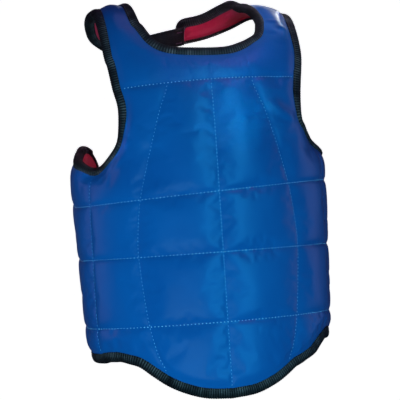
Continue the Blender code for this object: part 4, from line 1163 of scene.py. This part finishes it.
STRAP_EDGE = 0.0040
for sign, side, e_in, e_out in ((1, "left", STRAP_L_IN, STRAP_L_OUT), (-1, "right", STRAP_R_IN, STRAP_R_OUT)):
    n_along, n_across = 96, 34
    mid = strap_middle(e_in, e_out, n_along, n_across)
    # the front's own surface at the shoulder ridge, so that the strap carries straight on from it
    t_in = neck[-1, 0] if sign > 0 else neck[0, 0]
    t_out = arm_l[0, 0] if sign > 0 else arm_r[0, 0]
    ridge_t = np.linspace(t_in, t_out, n_across)
    ridge_p, ridge_n = at(ridge_t, np.full(n_across, V_RIDGE), np.zeros(n_across)), frame_at(ridge_t, np.full(n_across, V_RIDGE))[2]
    length = run_of(mid[:, n_across // 2])
    near = 1 - ease(length / 0.040)
    mid = mid + (ridge_p - mid[0])[None] * near[:, None, None]
    n = grid_normals(mid) * -sign
    n = unit(n * (1 - near)[:, None, None] + ridge_n[None] * near[:, None, None])
    wide = np.linalg.norm(mid[:, -1] - mid[:, 0], axis=1)
    f = np.linspace(0, 1, n_across)[None, :]
    d_side = np.minimum(f, 1 - f) * wide[:, None]
    d_end = (length[-1] - length)[:, None] + 0 * d_side
    d = np.minimum(d_side, d_end)
    # the two corners at the end are rounded
    turn = 0.010
    u, w = np.clip(1 - d_side / turn, 0, 1), np.clip(1 - d_end / turn, 0, 1)
    u2, w2 = u * np.sqrt(1 - w * w / 2), w * np.sqrt(1 - u * u / 2)
    across = unit(mid[:, -1] - mid[:, 0])[:, None]
    onward = unit(np.gradient(mid, axis=0))
    mid = mid + across * (np.where(f < 0.5, 1.0, -1.0) * (u - u2) * turn)[..., None] - onward * ((w - w2) * turn)[..., None]
    d = np.where((u > 0) & (w > 0), np.maximum(turn * (1 - np.hypot(u2, w2)), 0), d)
    body = half_of(d, STRAP_EDGE, 0.0062)
    front = half_of(d_side)
    half = body * (1 - near)[:, None] + front * near[:, None]
    clear = ease((d - 0.011) / 0.010)
    up = half + clear * (0.0005 * fuzz(mid, 0.03, 21 + sign))
    down = half + clear * (0.0006 * fuzz(mid, 0.022, 25 + sign))
    ones = np.ones((n_along - 1, n_across - 1), bool)
    thin = np.minimum(LEATHER, 0.7 * half)
    cover = shell(f"{side}_strap_cover_leather", mid + n * up[..., None], mid + n * (up - thin)[..., None], ones, BLUE, flip=sign > 0)
    lining = shell(f"{side}_strap_lining_leather", mid - n * down[..., None], mid - n * (down - thin)[..., None], ones, RED, flip=sign < 0)
    face_out(cover)
    face_out(lining)
    # binding: along the neck side, round the end, and back along the arm side
    a, b = mid[:, 0], mid[:, -1]
    path = np.vstack([a, mid[-1, 1:-1], b[::-1]])
    norm = np.vstack([n[:, 0], n[-1, 1:-1], n[::-1, -1]])
    h_here = np.r_[EDGE_H * near + STRAP_EDGE * (1 - near), np.full(n_across - 2, STRAP_EDGE), (EDGE_H * near + STRAP_EDGE * (1 - near))[::-1]]
    run = run_of(path)
    want = np.arange(0.0, run[-1], RIB / 4)
    p = resample(path, want)
    m = unit(np.stack([np.interp(want, run, norm[:, k]) for k in range(3)], 1))
    hh = np.interp(want, run, h_here)
    size = 6
    for _ in range(2):
        padded = np.pad(p, ((size, size), (0, 0)), mode="edge")
        q = np.stack([np.convolve(padded[:, k], np.ones(2 * size + 1) / (2 * size + 1), "valid") for k in range(3)], 1)
        hold = ease(np.minimum(want, want[-1] - want) / 0.02)[:, None]
        p = p * (1 - hold) + q * hold
    tangent = np.gradient(p, axis=0)
    padded = np.pad(tangent, ((size, size), (0, 0)), mode="edge")
    tangent = unit(np.stack([np.convolve(padded[:, k], np.ones(2 * size + 1) / (2 * size + 1), "valid") for k in range(3)], 1))
    inward = unit(np.cross(m, tangent))
    if (inward[5] * (b[0] - a[0])).sum() < 0:
        inward = -inward

    def place(depth, off):
        depth = np.broadcast_to(depth, hh.shape)
        off = np.broadcast_to(off, hh.shape)
        return p + inward * depth[:, None] + m * (off + np.sign(off) * np.clip(np.abs(off) / STRAP_EDGE, 0, 1) * (hh - STRAP_EDGE))[:, None]

    # on the left strap the binding is folded further to the outside, so less of it shows against the neck
    s_a, s_b = run[n_along - 1], run[n_along + n_across - 3]
    share_in = np.ones(len(want))
    if sign > 0:
        share_in = 1 - 0.62 * ease((want - s_b + 0.004) / 0.014) * ease((want[-1] - want) / 0.05)
        share_in = share_in - 0.15 * ease(want / 0.05) * ease((s_a - want) / 0.014)
    tape = binding_mesh(f"{side}_strap_rib_binding", place, want, STRAP_EDGE, TAPE, seed=30 + sign, share_in=share_in)
    trim = stitch_mesh(f"{side}_strap_binding_stitches",
                       [(place(TAPE_W - 0.0021, STRAP_EDGE + 0.00085), m),
                        (place(EDGE_R + (TAPE_W - 0.0021 - EDGE_R) * share_in, -STRAP_EDGE - 0.00085), -m)],
                       BLACK_THREAD, pitch=0.0032, length=0.0022, wide=0.00028, high=0.00024)
    for obj, slot, stands_for in (
        (cover, "blue_leather", [f"{side}_strap_cover", f"{side}_strap_foam"]),
        (lining, "red_leather", [f"{side}_strap_lining"]),
        (tape, "knit_tape", [f"{side}_strap_binding"]),
        (trim, None, []),
    ):
        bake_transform(obj)
        if stands_for:
            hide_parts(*stands_for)

# elastic from one padded end to the other
end_l = strap_middle(STRAP_L_IN, STRAP_L_OUT, 15, 5)
end_r = strap_middle(STRAP_R_IN, STRAP_R_OUT, 15, 5)
n_l, n_r = -grid_normals(end_l), grid_normals(end_r)
under = 0.010 / 2 + 0.0018 + 0.0012 + 0.0024
stations = []
for p, n, ks in ((end_l, n_l, (-2, -1)), (end_r, n_r, (-1, -2, -3))):
    for k in ks:
        mid, d = p[k, 2], p[k, -1] - p[k, 0]
        stations.append((mid - n[k, 2] * under, d / np.linalg.norm(d), n[k, 2]))
n_long, n_wide = 90, 41
mids = smooth([s[0] for s in stations], n_long)
ways = unit(smooth([s[1] for s in stations], n_long))
f = np.linspace(-0.5, 0.5, n_wide)
low = mids[:, None] + ways[:, None] * (f * NECK_W)[None, :, None]
nn = grid_normals(low)
round_off = np.sqrt(np.clip(1 - np.clip((np.abs(f) * NECK_W - (NECK_W / 2 - 0.0009)) / 0.0009, 0, 1) ** 2, 0, 1))
thick = (NECK_T * (0.3 + 0.7 * round_off) + 0.0003 * (0.5 + 0.5 * np.cos(2 * np.pi * 9 * f)) * round_off)[None, :, None]
high = low + nn * thick
count = n_long * n_wide
top = quads(np.ones((n_long - 1, n_wide - 1), bool))
a, b = top.ravel(), np.roll(top, -1, axis=1).ravel()
lone = ~np.isin(a * count + b, b * count + a)
a, b = a[lone], b[lone]
faces = np.vstack([top, top[:, ::-1] + count, np.stack([b, a, a + count, b + count], 1)])
uv = np.stack(np.meshgrid(run_of(mids), f * NECK_W, indexing="ij"), -1).reshape(-1, 2)
neck_elastic = mesh_object("neck_elastic_webbing", np.vstack([high.reshape(-1, 3), low.reshape(-1, 3)]), faces, ELASTIC, np.vstack([uv, uv]))
face_out(neck_elastic)
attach(neck_elastic, "neck_band")
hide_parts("neck_elastic")

# bar tacks that hold the elastic to each strap
tacks = []
for at_end in (slice(3, 12), slice(n_long - 12, n_long - 3)):
    for where in (8, n_wide - 9):
        for k in (-1, 0, 1):
            shift = ways[at_end] * (k * 0.0007)
            for face, way_out in ((high, nn), (low, -nn)):
                tacks.append((face[at_end, where] + shift, way_out[at_end, where]))
bar_tacks = stitch_mesh("neck_elastic_bar_tacks", tacks, PURPLE_THREAD, pitch=0.0014, length=0.0015, wide=0.00040, high=0.00038)
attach(bar_tacks, "neck_band")

# ---------------------------------------------------------------- stage, light and camera
scene = bpy.context.scene
FLOOR_Z = -1.70


def stage_mesh():
    """A round floor that curves up into a backdrop on all sides."""
    profile = [(2.5, FLOOR_Z)] + [(5.0 + 2.5 * math.sin(a), FLOOR_Z + 2.5 * (1 - math.cos(a))) for a in np.linspace(0, math.pi / 2, 24)] + [(7.5, 9.0)]
    turn = 64
    points = [(0.0, 0.0, FLOOR_Z)]
    points += [(r * math.cos(2 * math.pi * k / turn), r * math.sin(2 * math.pi * k / turn), z) for r, z in profile for k in range(turn)]
    faces = [(0, 1 + k, 2 + k, 1 + (k + 2) % turn) for k in range(0, turn, 2)]
    for ring in range(len(profile) - 1):
        a, b = 1 + ring * turn, 1 + (ring + 1) * turn
        faces += [(a + k, b + k, b + (k + 1) % turn, a + (k + 1) % turn) for k in range(turn)]
    m, nodes, links, shader = nodes_of("pale_studio_paper")
    speck = put(nodes, "ShaderNodeTexNoise", Scale=30.0, Detail=2.0)
    tone = ramp(nodes, [(0.3, (0.90, 0.90, 0.90)), (0.7, (0.93, 0.93, 0.93))])
    links.new(speck.outputs["Fac"], tone.inputs["Fac"])
    links.new(tone.outputs["Color"], shader.inputs["Base Color"])
    shader.inputs["Roughness"].default_value = 0.9
    shader.inputs["Emission Color"].default_value = (1, 1, 1, 1)
    shader.inputs["Emission Strength"].default_value = 0.95
    obj = mesh_object("studio_floor", np.array(points), np.array(faces), m)
    obj.visible_diffuse = obj.visible_glossy = obj.visible_shadow = False      # the paper doesn't wash out the colours
    return obj


floor = stage_mesh()

world = bpy.data.worlds.new("studio")
scene.world = world
world.use_nodes = True
back = world.node_tree.nodes["Background"]
back.inputs["Color"].default_value = (0.80, 0.76, 1.0, 1)
back.inputs["Strength"].default_value = 0.06


def area(name, place, aim, size, power, colour=(1, 1, 1), spread=180, matt=True, gloss=True):
    light = bpy.data.lights.new(name, "AREA")
    light.shape = "RECTANGLE"
    light.size, light.size_y = size
    light.energy = power
    light.color = colour
    light.spread = math.radians(spread)
    obj = bpy.data.objects.new(name, light)
    obj.visible_diffuse, obj.visible_glossy = matt, gloss
    obj.location = place
    obj.rotation_euler = (Vector(aim) - Vector(place)).to_track_quat("-Z", "Y").to_euler()
    scene.collection.objects.link(obj)
    return obj


area("key_softbox", (-0.36, -1.40, -0.80), (0.0, 0.0, -0.28), (0.8, 0.6), 20.8, (0.42, 0.96, 1.0), gloss=False)
area("chest_light", (-0.05, -1.30, -0.50), (0.028, -0.115, -0.162), (0.05, 0.05), 0.0135, (0.5, 1.0, 0.72), spread=5, gloss=False)
area("strip_light", (0.80, -2.3, -0.2), (0.0, 0.0, -0.2), (0.80, 1.8), 34, (0.04, 0.66, 1.0), matt=False)
area("upper_softbox", (1.0, -1.5, 1.6), (0.0, 0.0, -0.15), (1.3, 1.0), 11, (1.0, 0.10, 0.6), matt=False)
area("top_softbox", (0.05, -0.15, 1.55), (0.0, 0.0, 0.0), (1.3, 1.0), 4.5, (0.72, 0.40, 1.0))
area("left_fill", (-2.2, 0.2, 0.0), (0.0, 0.0, -0.25), (1.0, 1.6), 6, (0.80, 0.50, 1.0))
area("right_fill", (2.2, 0.0, 0.0), (0.0, 0.0, -0.25), (0.9, 1.6), 7, (0.45, 0.45, 1.0))
area("back_light", (0.8, 1.9, 1.1), (0.15, -0.03, -0.04), (0.6, 0.6), 0.045, (0.85, 0.92, 1.0), spread=16)
area("rear_fill", (-0.9, 2.3, 0.1), (0.0, 0.1, -0.25), (1.4, 1.4), 16, gloss=False)
area("neck_fill", (-0.2, -1.9, 0.10), (0.066, 0.085, 0.0), (0.12, 0.12), 0.108, (1.0, 0.85, 0.9), spread=8)
area("wing_fill", (0.10, -1.9, 0.15), (-0.172, 0.06, -0.215), (0.04, 0.04), 0.017, (1.0, 0.42, 0.46), spread=2, gloss=False)
area("wing_glint", (0.55, 1.1, 0.0), (-0.17, 0.05, -0.2), (0.10, 0.10), 0.12, spread=20)
area("shoulder_glint", (0.95, 0.75, 0.95), (0.11, -0.04, -0.045), (0.08, 0.05), 0.03, spread=12, matt=False)

psi, pitch, roll = math.radians(12.6), math.radians(1.1), math.radians(-4.05)
reach = 2.2
forward = Vector((math.sin(psi) * math.cos(pitch), math.cos(psi) * math.cos(pitch), math.sin(pitch)))
right = Vector((math.cos(psi), -math.sin(psi), 0.0))
above = right.cross(forward)
right, above = right * math.cos(roll) + above * math.sin(roll), above * math.cos(roll) - right * math.sin(roll)
forward = (forward - right * (0.65 / 1572)).normalized()
right = forward.cross(above).normalized()
above = right.cross(forward)
camera = bpy.data.objects.new("camera", bpy.data.cameras.new("camera"))
camera.data.sensor_width = 36.0
camera.data.lens = 1572 / 400 * 36.0
camera.data.clip_start, camera.data.clip_end = 0.05, 60
place = Vector((-reach * math.sin(psi), -reach * math.cos(psi), 0.008 - EYE))
camera.matrix_world = Matrix.Translation(place) @ Matrix((right, above, -forward)).transposed().to_4x4()
scene.collection.objects.link(camera)
scene.camera = camera
scene.view_settings.view_transform = "Standard"
